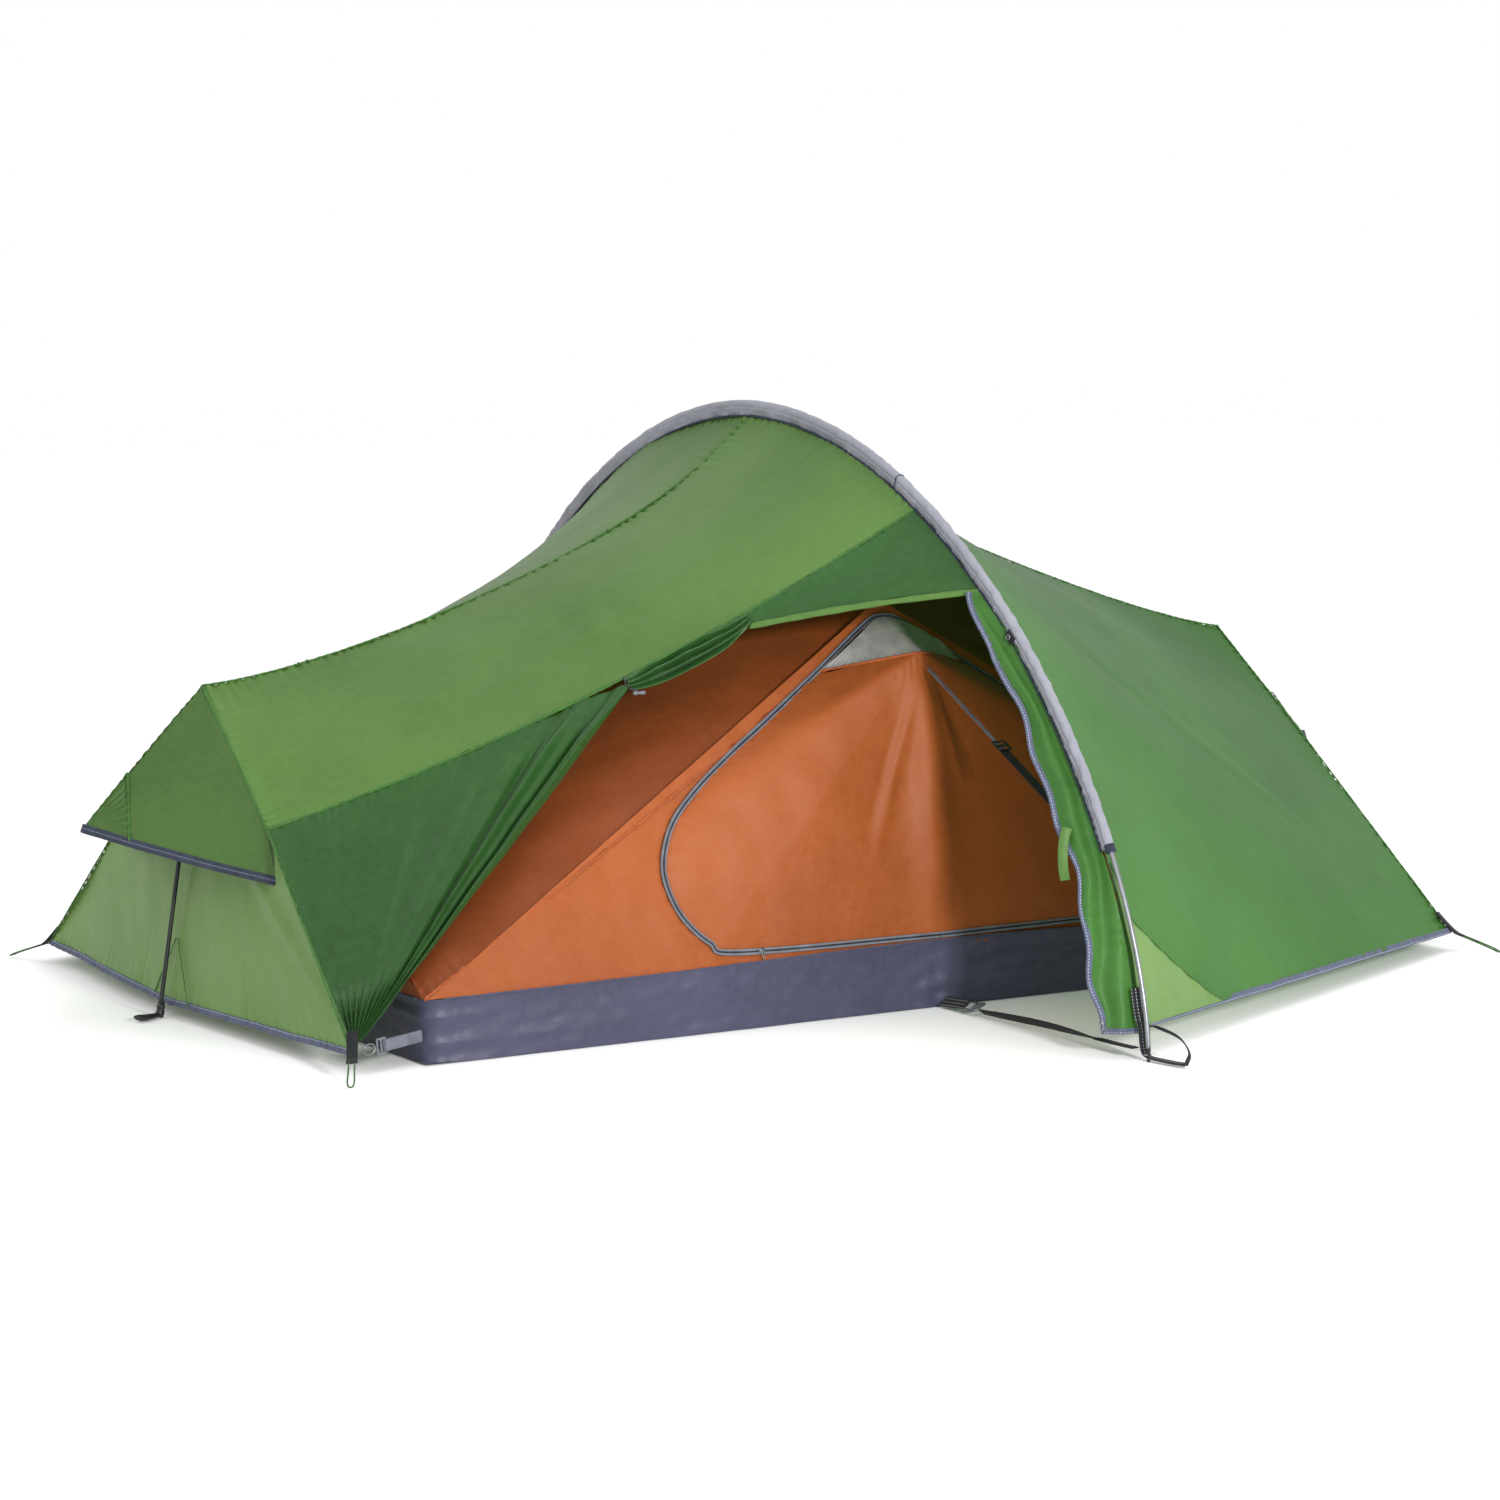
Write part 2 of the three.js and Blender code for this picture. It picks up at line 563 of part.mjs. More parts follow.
// ---- bands, straps and small fittings ----------------------------------------------------------
const bandPoint = (toFront, share) =>
  new THREE.Vector3(0, toFront * (BAND_TOP[0] + share * (BAND_ANCHOR[0] - BAND_TOP[0])),
    BAND_TOP[1] + share * (BAND_ANCHOR[1] - BAND_TOP[1]));

// A ladder-lock: a rounded frame with two slots and a bar between them, lying in the X-along plane.
function ladderLock(length, width, height) {
  const shape = new THREE.Shape();
  const [a, b, r] = [width / 2, length / 2, 3];
  shape.moveTo(-a + r, -b);
  shape.lineTo(a - r, -b);
  shape.quadraticCurveTo(a, -b, a, -b + r);
  shape.lineTo(a, b - r);
  shape.quadraticCurveTo(a, b, a - r, b);
  shape.lineTo(-a + r, b);
  shape.quadraticCurveTo(-a, b, -a, b - r);
  shape.lineTo(-a, -b + r);
  shape.quadraticCurveTo(-a, -b, -a + r, -b);
  for (const centre of [-length / 4 + 0.5, length / 4 - 0.5]) {
    const [w, h] = [a - 3.2, length / 4 - 2.6];
    shape.holes.push(new THREE.Path([[-w, centre - h], [w, centre - h], [w, centre + h], [-w, centre + h]]
      .map(([x, y]) => new THREE.Vector2(x, y))));
  }
  const frame = new THREE.ExtrudeGeometry(shape, { depth: height, bevelEnabled: false, curveSegments: 3 });
  return frame.translate(0, 0, -height / 2);
}

function addTensionBand(name, toFront) {
  const across = new THREE.Vector3(1, 0, 0);
  const along = bandPoint(toFront, 1).sub(bandPoint(toFront, 0)).normalize();
  const stretch = (from, to) => [bandPoint(toFront, from), bandPoint(toFront, to)];
  const wide = ribbon(stretch(ADJUSTER_AT, 1), 22, across, 2, BAND_THICKNESS);
  const thin = ribbon(stretch(0, ADJUSTER_AT + 0.02), 9, across, 2, BAND_THICKNESS);
  add("tension_band_" + name, join(wide, thin), BLACK);
  const lock = ladderLock(30, 30, 3);
  const normal = across.clone().cross(along);
  const basis = new THREE.Matrix4().makeBasis(across, along, normal);
  basis.setPosition(bandPoint(toFront, ADJUSTER_AT - 0.02).addScaledVector(normal, toFront * 3.4));
  add("tension_adjuster_" + name, lock.applyMatrix4(basis), BLACK, 0.5);
}

// The webbing under the arch foot: the tip stands in its eyelet, and a pegging loop runs outwards.
function addArchFoot(name, toFront) {
  const at = (x, y, z) => new THREE.Vector3(x, toFront * y, z);
  const inside = [
    at(0, 1335, 118), at(0, 1349, 62), at(0, 1356, 22),
    at(2, 1368, 9), at(8, 1410, 7), at(17, 1466, 7),
  ];
  const lower = ribbon(inside, 20, new THREE.Vector3(1, 0, 0), 12);
  const over = [at(17, 1462, 8), at(31, 1452, 26), at(32, 1418, 48), at(26, 1362, 58), at(8, 1349, 62)];
  const upper = ribbon(over, 14, new THREE.Vector3(0.5, 0, 1), 10);
  const tip = archPoint(angleAtHeight(TIP_TOP, POLE_INSET), POLE_INSET);
  const eyelet = new THREE.CylinderGeometry(5.5, 5.5, 40, 14).rotateX(Math.PI / 2)
    .translate(0, toFront * Math.abs(tip.y), 16);
  add("arch_foot_webbing_" + name, cut(join(lower, upper), eyelet), BLACK);
}

// The strap along the ground from the arch foot to the buckle on the inner's floor edge.
function addFloorStrap(name, toFront) {
  const at = (x, y, z) => new THREE.Vector3(x, toFront * y, z);
  const strap = ribbon([at(0, 852, 10), at(0, 1100, 11), at(0, 1340, 16)], 15, new THREE.Vector3(1, 0, 0.35), 6);
  add("floor_strap_" + name, strap, BLACK);
  const ring = ladderLock(40, 30, 4);
  ring.translate(0, toFront * 824, 11);
  add("floor_buckle_" + name, ring, METAL, 0.4, 0.6);
}

// Grey webbing from an inner corner to its flysheet corner, with its hook and ring.
function addCornerStrap(name, side, sy) {
  const start = new THREE.Vector3(side * (FLOOR_HALF_LENGTH + 1), sy * (FLOOR_HALF_WIDTH - 22), 52);
  const end = mirrored(CORNER, side, sy).add(new THREE.Vector3(-side * 34, -sy * 20, 0));
  const width = new THREE.Vector3(0, 0, 1);
  const webbing = ribbon([mix(start, end, 0.06), mix(start, end, 0.72)], 22, width, 2);
  const hook = ribbon([mix(start, end, 0.7), end], 12, width, 2, 5);
  add("corner_strap_" + name, join(webbing, hook), GREY.webbing);
}

// The elastic pegging loop at a flysheet corner: out from its tab to the ground and back.
function loopPoints(side, sy) {
  const corner = mirrored(CORNER, side, sy);
  const out = new THREE.Vector3(side * 0.45, sy * 0.89, 0);
  const across = new THREE.Vector3(-out.y, out.x, 0);
  const at = (far, aside, z) => {
    const p = corner.clone().addScaledVector(out, far).addScaledVector(across, aside);
    p.z = z;
    return p;
  };
  return [at(10, 5, 38), at(62, 5.5, 22), at(92, 6, 12), at(106, 4.5, 6.5), at(111, 0, 5),
    at(106, -4.5, 6.5), at(92, -6, 12), at(62, -5.5, 22), at(10, -5, 38)];
}

function addCornerLoop(name, side, sy) {
  const curve = new THREE.CatmullRomCurve3(loopPoints(side, sy));
  add("corner_loop_" + name, tube(curve, 1.6, 0, 8, 30), GREEN.cord);
}

// The toggle that holds the door back, and the two zip sliders.
function addSmallFittings() {
  const tie = roofSeamPoint(-1, DOOR_TIE);
  const barrel = turned([[0, -13], [3, -12], [4, -7], [2.6, -1.5], [2.6, 1.5], [4, 7], [3, 12], [0, 13]], 12);
  barrel.rotateY(Math.PI / 2);
  barrel.translate(tie.x + 8, tie.y - 44, tie.z - 24);
  add("door_toggle", geometryOf(solidOf(barrel)), GREY.webbing, 0.5);

  const slider = () => new THREE.BoxGeometry(16, 9, 5);
  const pull = () => new THREE.CylinderGeometry(2.2, 3.4, 30, 10).translate(0, -18, 2.6);
  const inner = join(slider(), pull());
  const basis = new THREE.Matrix4().makeBasis(new THREE.Vector3(1, 0, 0), upWall, outOfWall);
  basis.setPosition(wallPoint(-400, 24, 7));
  add("inner_zip_slider", inner.applyMatrix4(basis), BLACK, 0.5);

  const edge = doorwayFlap();
  const [low, high] = [edge(0.97, 1), edge(0.86, 1)];
  const run = high.clone().sub(low).normalize();
  const away = FLAP_DIRECTION.clone().normalize();
  const face = away.clone().cross(run).normalize();
  const outer = join(slider(), pull());
  const frame = new THREE.Matrix4().makeBasis(run.clone().cross(face), run, face);
  frame.setPosition(low.clone().addScaledVector(away, 12));
  outer.applyMatrix4(frame);
  add("door_zip_slider", outer, BLACK, 0.5);
}

addArchPole();
addSleeve();
addFlysheet();
addEnd("left", -1);
addEnd("right", 1);
addEndPole("left", -1);
addEndPole("right", 1);
addInner();
for (const [name, toFront] of [["front", -1], ["back", 1]]) {
  addTensionBand(name, toFront);
  addArchFoot(name, toFront);
  addFloorStrap(name, toFront);
}
for (const [end, side] of [["left", -1], ["right", 1]]) {
  for (const [half, sy] of [["front", -1], ["back", 1]]) {
    addCornerStrap(end + "_" + half, side, sy);
    addCornerLoop(end + "_" + half, side, sy);
  }
}
addSmallFittings();

export default tent;
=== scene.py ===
"""The looks of a single-arch tent, built around its CAD frame. Metres, +Z up, -Y towards the doorway."""

import math

import bpy
import numpy as np
from mathutils import Matrix, Vector


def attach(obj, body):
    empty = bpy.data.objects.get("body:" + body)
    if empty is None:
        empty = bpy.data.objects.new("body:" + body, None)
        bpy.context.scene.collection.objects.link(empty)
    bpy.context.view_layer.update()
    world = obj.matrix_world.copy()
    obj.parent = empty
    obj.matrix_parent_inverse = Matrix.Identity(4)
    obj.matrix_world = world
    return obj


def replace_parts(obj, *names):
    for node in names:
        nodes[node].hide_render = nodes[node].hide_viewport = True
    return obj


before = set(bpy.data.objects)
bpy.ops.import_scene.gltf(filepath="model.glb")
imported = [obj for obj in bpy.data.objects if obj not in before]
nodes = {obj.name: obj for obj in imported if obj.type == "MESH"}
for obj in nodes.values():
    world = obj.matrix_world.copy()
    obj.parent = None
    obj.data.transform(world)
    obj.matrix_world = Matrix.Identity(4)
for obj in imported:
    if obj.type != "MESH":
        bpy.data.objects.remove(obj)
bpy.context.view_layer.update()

# ---- sizes: the CAD source's own, but for the last group --------------------------------------------
ARCH_HALF_SPAN = 1.383
ARCH_HEIGHT = 1.149
ARCH_SPREAD_POWER = 1.0458
ARCH_RISE_POWER = 1.2223
POLE_INSET = 0.010
POLE_RADIUS = 0.00425
SLEEVE_WIDTH = 0.032
SLEEVE_END_HEIGHT = 0.368
TIP_TOP = 0.024
ARCH_HEM_HEIGHT = 0.060
FLAP_HEM_HEIGHT = 0.052
END_APEX = (1.207, 0, 0.629)
HOOD_TIP = (1.454, 0, 0.3745)
HOOD_SIDE = (1.219, 0.353, 0.298)
SHOULDER = (1.219, 0.317, 0.389)
CORNER = (1.250, 0.734, 0.042)
END_HEM_MIDDLE = (1.288, 0, 0.030)
END_WALL_TOP = (1.190, 0, 0.556)
SEAM_ANGLE = math.acos(0.48)
GABLE_ANGLE = math.acos(0.637)
SEAM_SAG = 0.185
DOOR_TIE = 0.46
GATHER_END = 0.73
GABLE_REACH = 0.27
SHOULDER_BEND = 0.42
FLOOR_HALF_LENGTH = 1.100
FLOOR_HALF_WIDTH = 0.715
TUB_HEIGHT = 0.115
WALL_FOOT = (0.712, 0.119)
WALL_TOP = (0.512, 0.712)
WALL_HALF_LENGTH = 1.092
INNER_TOP = (0, 0, 1.010)
INNER_END = (1.130, 0, 0.520)
INNER_CORNER = (1.096, 0.708, 0.119)
DOOR_BULGE = 0.112
SLIT_RISE = 0.556
BAND_ANCHOR = (1.212, 0.361)
BAND_TOP = (0.668, 0.648)
ADJUSTER_AT = 0.47

PANEL_INSET = 0.0335  # the panels reach 4.5 mm nearer the sleeve than in the CAD, so that no slit shows
FLAP_VISIBLE_TOP = GABLE_ANGLE - 0.010  # a little higher than in the CAD
VENT_TOP = 0.655
CORD_DIAMETER = 0.0032
BINDING_SIZE = (0.013, 0.0026)  # width and thickness of the hem binding

# ---- the camera -----------------------------------------------------------------------------------
CAMERA_PLACE = (-4.0851, -6.8495, 1.3213)
CAMERA_TURN = (30.82, -6.381, -0.413)  # yaw, pitch and roll, in degrees
LENS_MM = 93.53


def add_camera():
    yaw, pitch, roll = (math.radians(a) for a in CAMERA_TURN)
    forward = Vector((math.sin(yaw) * math.cos(pitch), math.cos(yaw) * math.cos(pitch), math.sin(pitch)))
    level = Vector((math.cos(yaw), -math.sin(yaw), 0))
    rise = level.cross(forward)
    right = level * math.cos(roll) + rise * math.sin(roll)
    up = rise * math.cos(roll) - level * math.sin(roll)
    camera = bpy.data.objects.new("camera", bpy.data.cameras.new("camera"))
    bpy.context.scene.collection.objects.link(camera)
    turn = Matrix((right, up, -forward)).transposed().to_4x4()
    camera.matrix_world = Matrix.Translation(CAMERA_PLACE) @ turn
    camera.data.sensor_width = 36
    camera.data.lens = LENS_MM
    camera.data.clip_end = 200
    bpy.context.scene.camera = camera


add_camera()


# ---- materials ------------------------------------------------------------------------------------
def linear(colour):
    """A hex colour as the linear values that a shader takes."""
    parts = [int(colour[i : i + 2], 16) / 255 for i in (1, 3, 5)]
    return tuple(c / 12.92 if c <= 0.04045 else ((c + 0.055) / 1.055) ** 2.4 for c in parts) + (1,)


class Shader:
    """Builds one node material, step by step."""

    def __init__(self, name):
        self.material = bpy.data.materials.new(name)
        self.material.use_nodes = True
        self.tree = self.material.node_tree
        self.tree.nodes.clear()
        self.output = self.node("ShaderNodeOutputMaterial")
        self.principled = self.node("ShaderNodeBsdfPrincipled")
        self.link(self.principled.outputs[0], self.output.inputs[0])
        self.place = self.node("ShaderNodeTexCoord")

    def node(self, kind, **settings):
        made = self.tree.nodes.new(kind)
        for key, value in settings.items():
            setattr(made, key, value)
        return made

    def link(self, a, b):
        self.tree.links.new(a, b)

    def noise(self, scale, detail=3, roughness=0.5, stretch=(1, 1, 1), space="Object"):
        mapping = self.node("ShaderNodeMapping")
        mapping.inputs["Scale"].default_value = stretch
        self.link(self.place.outputs[space], mapping.inputs["Vector"])
        made = self.node("ShaderNodeTexNoise")
        made.inputs["Scale"].default_value = scale
        made.inputs["Detail"].default_value = detail
        made.inputs["Roughness"].default_value = roughness
        self.link(mapping.outputs[0], made.inputs["Vector"])
        return made.outputs[0]

    def bands(self, period, direction, space="UV", profile="SIN"):
        made = self.node("ShaderNodeTexWave", bands_direction=direction, wave_profile=profile)
        made.inputs["Scale"].default_value = 2 * math.pi / (20 * period)
        self.link(self.place.outputs[space], made.inputs["Vector"])
        return made.outputs["Fac"]

    def maths(self, operation, a, b=None, clamp=False):
        made = self.node("ShaderNodeMath", operation=operation, use_clamp=clamp)
        for socket, value in zip(made.inputs, (a, b)):
            if isinstance(value, (int, float)):
                socket.default_value = value
            elif value is not None:
                self.link(value, socket)
        return made.outputs[0]

    def ranged(self, value, low, high, to_low=0.0, to_high=1.0):
        made = self.node("ShaderNodeMapRange")
        for key, number in zip(("From Min", "From Max", "To Min", "To Max"), (low, high, to_low, to_high)):
            made.inputs[key].default_value = number
        self.link(value, made.inputs["Value"])
        return made.outputs[0]

    def mix(self, factor, a, b):
        made = self.node("ShaderNodeMix", data_type="RGBA")
        for socket, value in ((made.inputs[0], factor), (made.inputs[6], a), (made.inputs[7], b)):
            if isinstance(value, (int, float, tuple)):
                socket.default_value = value
            else:
                self.link(value, socket)
        return made.outputs[2]

    def bump(self, height, distance, strength=1.0, under=None):
        made = self.node("ShaderNodeBump")
        made.inputs["Distance"].default_value = distance
        made.inputs["Strength"].default_value = strength
        self.link(height, made.inputs["Height"])
        if under:
            self.link(under, made.inputs["Normal"])
        return made.outputs[0]

    def set(self, **values):
        for key, value in values.items():
            socket = self.principled.inputs[key.replace("_", " ")]
            if hasattr(value, "links"):
                self.link(value, socket)
            else:
                socket.default_value = value


def coated_cloth(name, colour, shade, glow, roughness=0.42, sheen=0.08, creases=1.0, through=0.16):
    """Thin coated polyester: a fine ripstop weave, cloudy colour, small creases and some light through it."""
    s = Shader(name)
    clouds = s.noise(2.3, 4, 0.55)
    flecks = s.noise(55, 3, 0.6)
    colour_now = s.mix(s.ranged(clouds, 0.35, 0.68), linear(shade), linear(colour))
    colour_now = s.mix(s.ranged(flecks, 0.3, 0.75, 0, 0.22), colour_now, linear(glow))
    ripstop = s.maths("MAXIMUM", s.bands(0.005, "X"), s.bands(0.005, "Y"))
    grid = s.ranged(ripstop, 0.9, 1.0)
    colour_now = s.mix(s.maths("MULTIPLY", grid, 0.12), colour_now, linear(shade))
    weave = s.maths("ADD", s.bands(0.0009, "X"), s.bands(0.0009, "Y"))
    soft = s.noise(7, 5, 0.5)
    fine = s.noise(34, 3, 0.5, (1, 1, 1.5))
    normal = s.bump(soft, 0.010 * creases, 0.55)
    normal = s.bump(fine, 0.0022 * creases, 0.45, normal)
    normal = s.bump(weave, 0.00008, 0.25, normal)
    normal = s.bump(grid, 0.00015, 0.25, normal)
    s.set(Base_Color=colour_now, Normal=normal, Sheen_Weight=sheen, Sheen_Roughness=0.45)
    s.set(Roughness=s.ranged(flecks, 0.2, 0.8, roughness - 0.05, roughness + 0.08), Specular_IOR_Level=0.32)
    behind = s.node("ShaderNodeBsdfTranslucent")
    s.link(colour_now, behind.inputs["Color"])
    s.link(normal, behind.inputs["Normal"])
    both = s.node("ShaderNodeMixShader")
    both.inputs[0].default_value = through
    s.link(s.principled.outputs[0], both.inputs[1])
    s.link(behind.outputs[0], both.inputs[2])
    s.link(both.outputs[0], s.output.inputs[0])
    return s.material


def webbing(name, colour, shade, period=0.0022, edge=0.0, stitch=None, roughness=0.75):
    """Woven tape: ribs across it, a few long yarns along it, and if asked two rows of stitches."""
    s = Shader(name)
    ribs = s.bands(period, "X")
    yarns = s.bands(period * 1.4, "Y")
    weave = s.maths("MULTIPLY", ribs, yarns)
    dust = s.noise(40, 4, 0.6)
    colour_now = s.mix(s.ranged(dust, 0.3, 0.75), linear(shade), linear(colour))
    colour_now = s.mix(s.ranged(weave, 0.0, 1.0, 0, 0.35), colour_now, linear(shade))
    if stitch:
        across = s.node("ShaderNodeSeparateXYZ")
        s.link(s.place.outputs["UV"], across.inputs[0])
        row = s.ranged(s.bands(edge, "Y"), 0.93, 0.97)
        dash = s.ranged(s.bands(0.006, "X"), 0.35, 0.5)
        colour_now = s.mix(s.maths("MULTIPLY", row, dash), colour_now, linear(stitch))
    normal = s.bump(weave, 0.0005, 0.6)
    normal = s.bump(dust, 0.0006, 0.3, normal)
    s.set(Base_Color=colour_now, Normal=normal, Roughness=roughness)
    s.set(Sheen_Weight=0.05, Specular_IOR_Level=0.25)
    return s.material


def metal(name, colour, shade, roughness=0.28, stretch=(1, 1, 1)):
    """Drawn or anodised metal, brushed along one direction, with dull handling marks."""
    s = Shader(name)
    brushed = s.noise(900, 2, 0.5, stretch)
    marks = s.noise(30, 5, 0.65)
    colour_now = s.mix(s.ranged(marks, 0.3, 0.8), linear(colour), linear(shade))
    s.set(Base_Color=colour_now, Metallic=0.9, Normal=s.bump(brushed, 0.0001, 0.2))
    s.set(Roughness=s.ranged(marks, 0.3, 0.8, roughness, roughness + 0.2))
    return s.material


def plastic(name, colour, shade, roughness=0.45, metallic=0.0):
    """Moulded or powder-coated black: a fine grain, with paler scuffs on it."""
    s = Shader(name)
    grain = s.noise(420, 3, 0.6)
    scuffs = s.noise(60, 5, 0.7)
    colour_now = s.mix(s.ranged(scuffs, 0.55, 0.85, 0, 0.6), linear(colour), linear(shade))
    s.set(Base_Color=colour_now, Metallic=metallic, Normal=s.bump(grain, 0.00012, 0.35))
    s.set(Roughness=s.ranged(scuffs, 0.3, 0.8, roughness, roughness + 0.18))
    return s.material


def mesh_netting(name, colour, shade):
    """Close insect netting with a silvery sheen and small holes that show what is behind it."""
    s = Shader(name)
    holes = s.maths("MULTIPLY", s.bands(0.0016, "X"), s.bands(0.0016, "Y"))
    dirt = s.noise(26, 4, 0.6)
    colour_now = s.mix(s.ranged(dirt, 0.3, 0.7), linear(shade), linear(colour))
    colour_now = s.mix(s.ranged(holes, 0.0, 1.0, 0, 0.3), colour_now, linear(shade))
    s.set(Base_Color=colour_now, Normal=s.bump(holes, 0.0004, 0.5), Roughness=0.38, Sheen_Weight=0.15)
    s.set(Alpha=s.ranged(holes, 0.2, 0.9, 1.0, 0.88))
    return s.material


def braid(name, colour, shade, pitch=0.004):
    """Braided cord: two crossing spirals of yarn with flecks of a darker one."""
    s = Shader(name)
    mapping = s.node("ShaderNodeMapping")
    mapping.inputs["Rotation"].default_value = (0, 0, math.radians(38))
    s.link(s.place.outputs["UV"], mapping.inputs["Vector"])
    one = s.noise(500, 2, 0.5)
    two = s.noise(90, 4, 0.6)
    colour_now = s.mix(s.ranged(two, 0.35, 0.65), linear(shade), linear(colour))
    strands = s.node("ShaderNodeTexWave", bands_direction="DIAGONAL")
    strands.inputs["Scale"].default_value = 2 * math.pi / (20 * pitch)
    s.link(mapping.outputs[0], strands.inputs["Vector"])
    normal = s.bump(one, 0.0003, 0.5)
    normal = s.bump(strands.outputs["Fac"], 0.0005, 0.6, normal)
    s.set(Base_Color=colour_now, Normal=normal, Roughness=0.7, Sheen_Weight=0.1)
    return s.material


FLY = coated_cloth("fly_green", "#5f853f", "#4f7434", "#759a56", 0.42, 0.05, 1.15, 0.34)
# The hoods take the fly cloth darkened to about 0.6 of its colour: painted shade.
HOOD_PAINTED_SHADE = coated_cloth("fly_hood_painted_shade", "#4c6f33", "#405f2a", "#5f8345", 0.44, 0.05, 1.0, 0.3)
DOOR_GREEN = coated_cloth("fly_dark_green", "#2f5926", "#25481e", "#407137", 0.29, 0.05, 0.8, 0.24)
LIGHT_GREEN = coated_cloth("fly_light_green", "#739651", "#648745", "#88a766", 0.44, 0.05, 0.9, 0.26)
# A darker copy of the fly cloth for the right-hand panels and the doorway flap: painted shade.
FLY_PAINTED_SHADE = coated_cloth("fly_green_painted_shade", "#457a33", "#3a692c", "#588e45", 0.48, 0.04, 1.0, 0.36)
ORANGE = coated_cloth("inner_orange", "#a75624", "#95491d", "#b46736", 0.5, 0.06, 1.0, 0.22)
# A darker copy of the inner's orange for the inner roof panels: painted shade.
ORANGE_PAINTED_SHADE = coated_cloth("inner_orange_roof_painted_shade", "#93481f", "#803c18", "#a2592b", 0.5, 0.06, 1.1, 0.3)
TUB = coated_cloth("floor_grey", "#434359", "#3a3a4e", "#55556b", 0.4, 0.05, 1.3, 0.04)
SLEEVE = coated_cloth("sleeve_grey", "#8e8f99", "#7e7f8a", "#a0a2ab", 0.5, 0.12, 0.7, 0.08)
NETTING = mesh_netting("vent_mesh", "#979391", "#787573")
BINDING = webbing("binding_grey", "#5a6174", "#474d60", 0.0016, 0.011, "#9aa2b4")
HOOD_EDGE = webbing("binding_dark", "#353b4a", "#262b38", 0.0016, 0.011, "#6e7686")
PIPING = webbing("piping_navy", "#2c3247", "#212637", 0.0014)
WEB_BLACK = webbing("webbing_black", "#1e1f22", "#0f1012")
WEB_STITCHED = webbing("webbing_bar_tacked", "#1e1f22", "#0f1012", 0.0022, 0.009, "#a9acb2")
WEB_GREY = webbing("webbing_grey", "#6d717b", "#575b65")
SEAM_GREEN = webbing("seam_green", "#3f6c2c", "#2f5523", 0.0026)
SEAM_ORANGE = webbing("seam_orange", "#a4542a", "#86421f", 0.0026)
SEAM_GREY = webbing("seam_grey", "#4b4b60", "#3a3a4c", 0.0026)
ZIP_TAPE = webbing("zip_tape", "#70737c", "#5b5e66", 0.0016)
ZIP_COIL = webbing("zip_coil", "#2f3138", "#18191d", 0.0013, roughness=0.45)
ALLOY = metal("alloy", "#8f9296", "#6d7074", 0.3, (1, 1, 0.05))
GREY_METAL = metal("grey_metal", "#8a8d92", "#63666b", 0.35)
POLE_BLACK = plastic("pole_black", "#17181a", "#3a3c40", 0.35, 0.3)
PLASTIC = plastic("black_plastic", "#141517", "#44474c", 0.42)
GREY_PLASTIC = plastic("grey_plastic", "#62666d", "#4c5057", 0.45)
SHOCK_CORD = braid("shock_cord", "#2d2f33", "#17181a")
CORD_GREEN = braid("cord_green", "#346f22", "#16300f")


# ---- geometry helpers -----------------------------------------------------------------------------
def arr(*parts):
    """Stacks coordinates, numbers or arrays alike, into points."""
    return np.stack(np.broadcast_arrays(*[np.asarray(p, float) for p in parts]), axis=-1)


def mix(a, b, t):
    a, b, t = np.asarray(a, float), np.asarray(b, float), np.asarray(t, float)[..., None]
    return a + (b - a) * t


def flipped(point, side, sy):
    return np.array(point, float) * (side, sy, 1)


def bent_line(a, b, c, bend, t):
    """The line a-b-c, which reaches b at the share bend of its run."""
    t = np.asarray(t, float)
    first, second = mix(a, b, np.clip(t / bend, 0, 1)), mix(b, c, np.clip((t - bend) / (1 - bend), 0, 1))
    return np.where((t < bend)[..., None], first, second)


def unit(v):
    return v / np.maximum(np.linalg.norm(v, axis=-1, keepdims=True), 1e-12)


def stations(count, ease=0.6):
    """Shares from 0 to 1, closer together near both ends."""
    t = np.linspace(0, 1, count)
    return t - ease * np.sin(2 * np.pi * t) / (2 * np.pi)


def surface(function, across, along, ease=(0.6, 0.6)):
    u, v = np.meshgrid(stations(across, ease[0]), stations(along, ease[1]), indexing="ij")
    return function(u, v)


def normals(points, outward=None):
    """Unit normals of a grid of points, turned away from a point inside."""
    n = unit(np.cross(np.gradient(points, axis=0), np.gradient(points, axis=1)))
    inside = np.array((0, 0, 0.25) if outward is None else outward, float)
    middle = points[points.shape[0] // 2, points.shape[1] // 2]
    if (n[points.shape[0] // 2, points.shape[1] // 2] * (middle - inside)).sum() < 0:
        n = -n
    return n


def lengths(points, axis):
    """Distance run along one axis of a grid."""
    steps = np.linalg.norm(np.diff(points, axis=axis), axis=-1)
    pad = [(0, 0)] * steps.ndim
    pad[axis] = (1, 0)
    return np.pad(np.cumsum(steps, axis=axis), pad)


def ripple(points, wavelength, seed, count=9):
    """Smooth unevenness of about that wavelength, from -1 to 1."""
    rng = np.random.default_rng(seed)
    total = np.zeros(points.shape[:-1])
    for _ in range(count):
        direction = unit(rng.normal(size=3))
        rate = 2 * np.pi / (wavelength * rng.uniform(0.7, 1.6))
        total += np.sin(points @ direction * rate + rng.uniform(0, 2 * np.pi))
    return total / math.sqrt(count) / 1.4


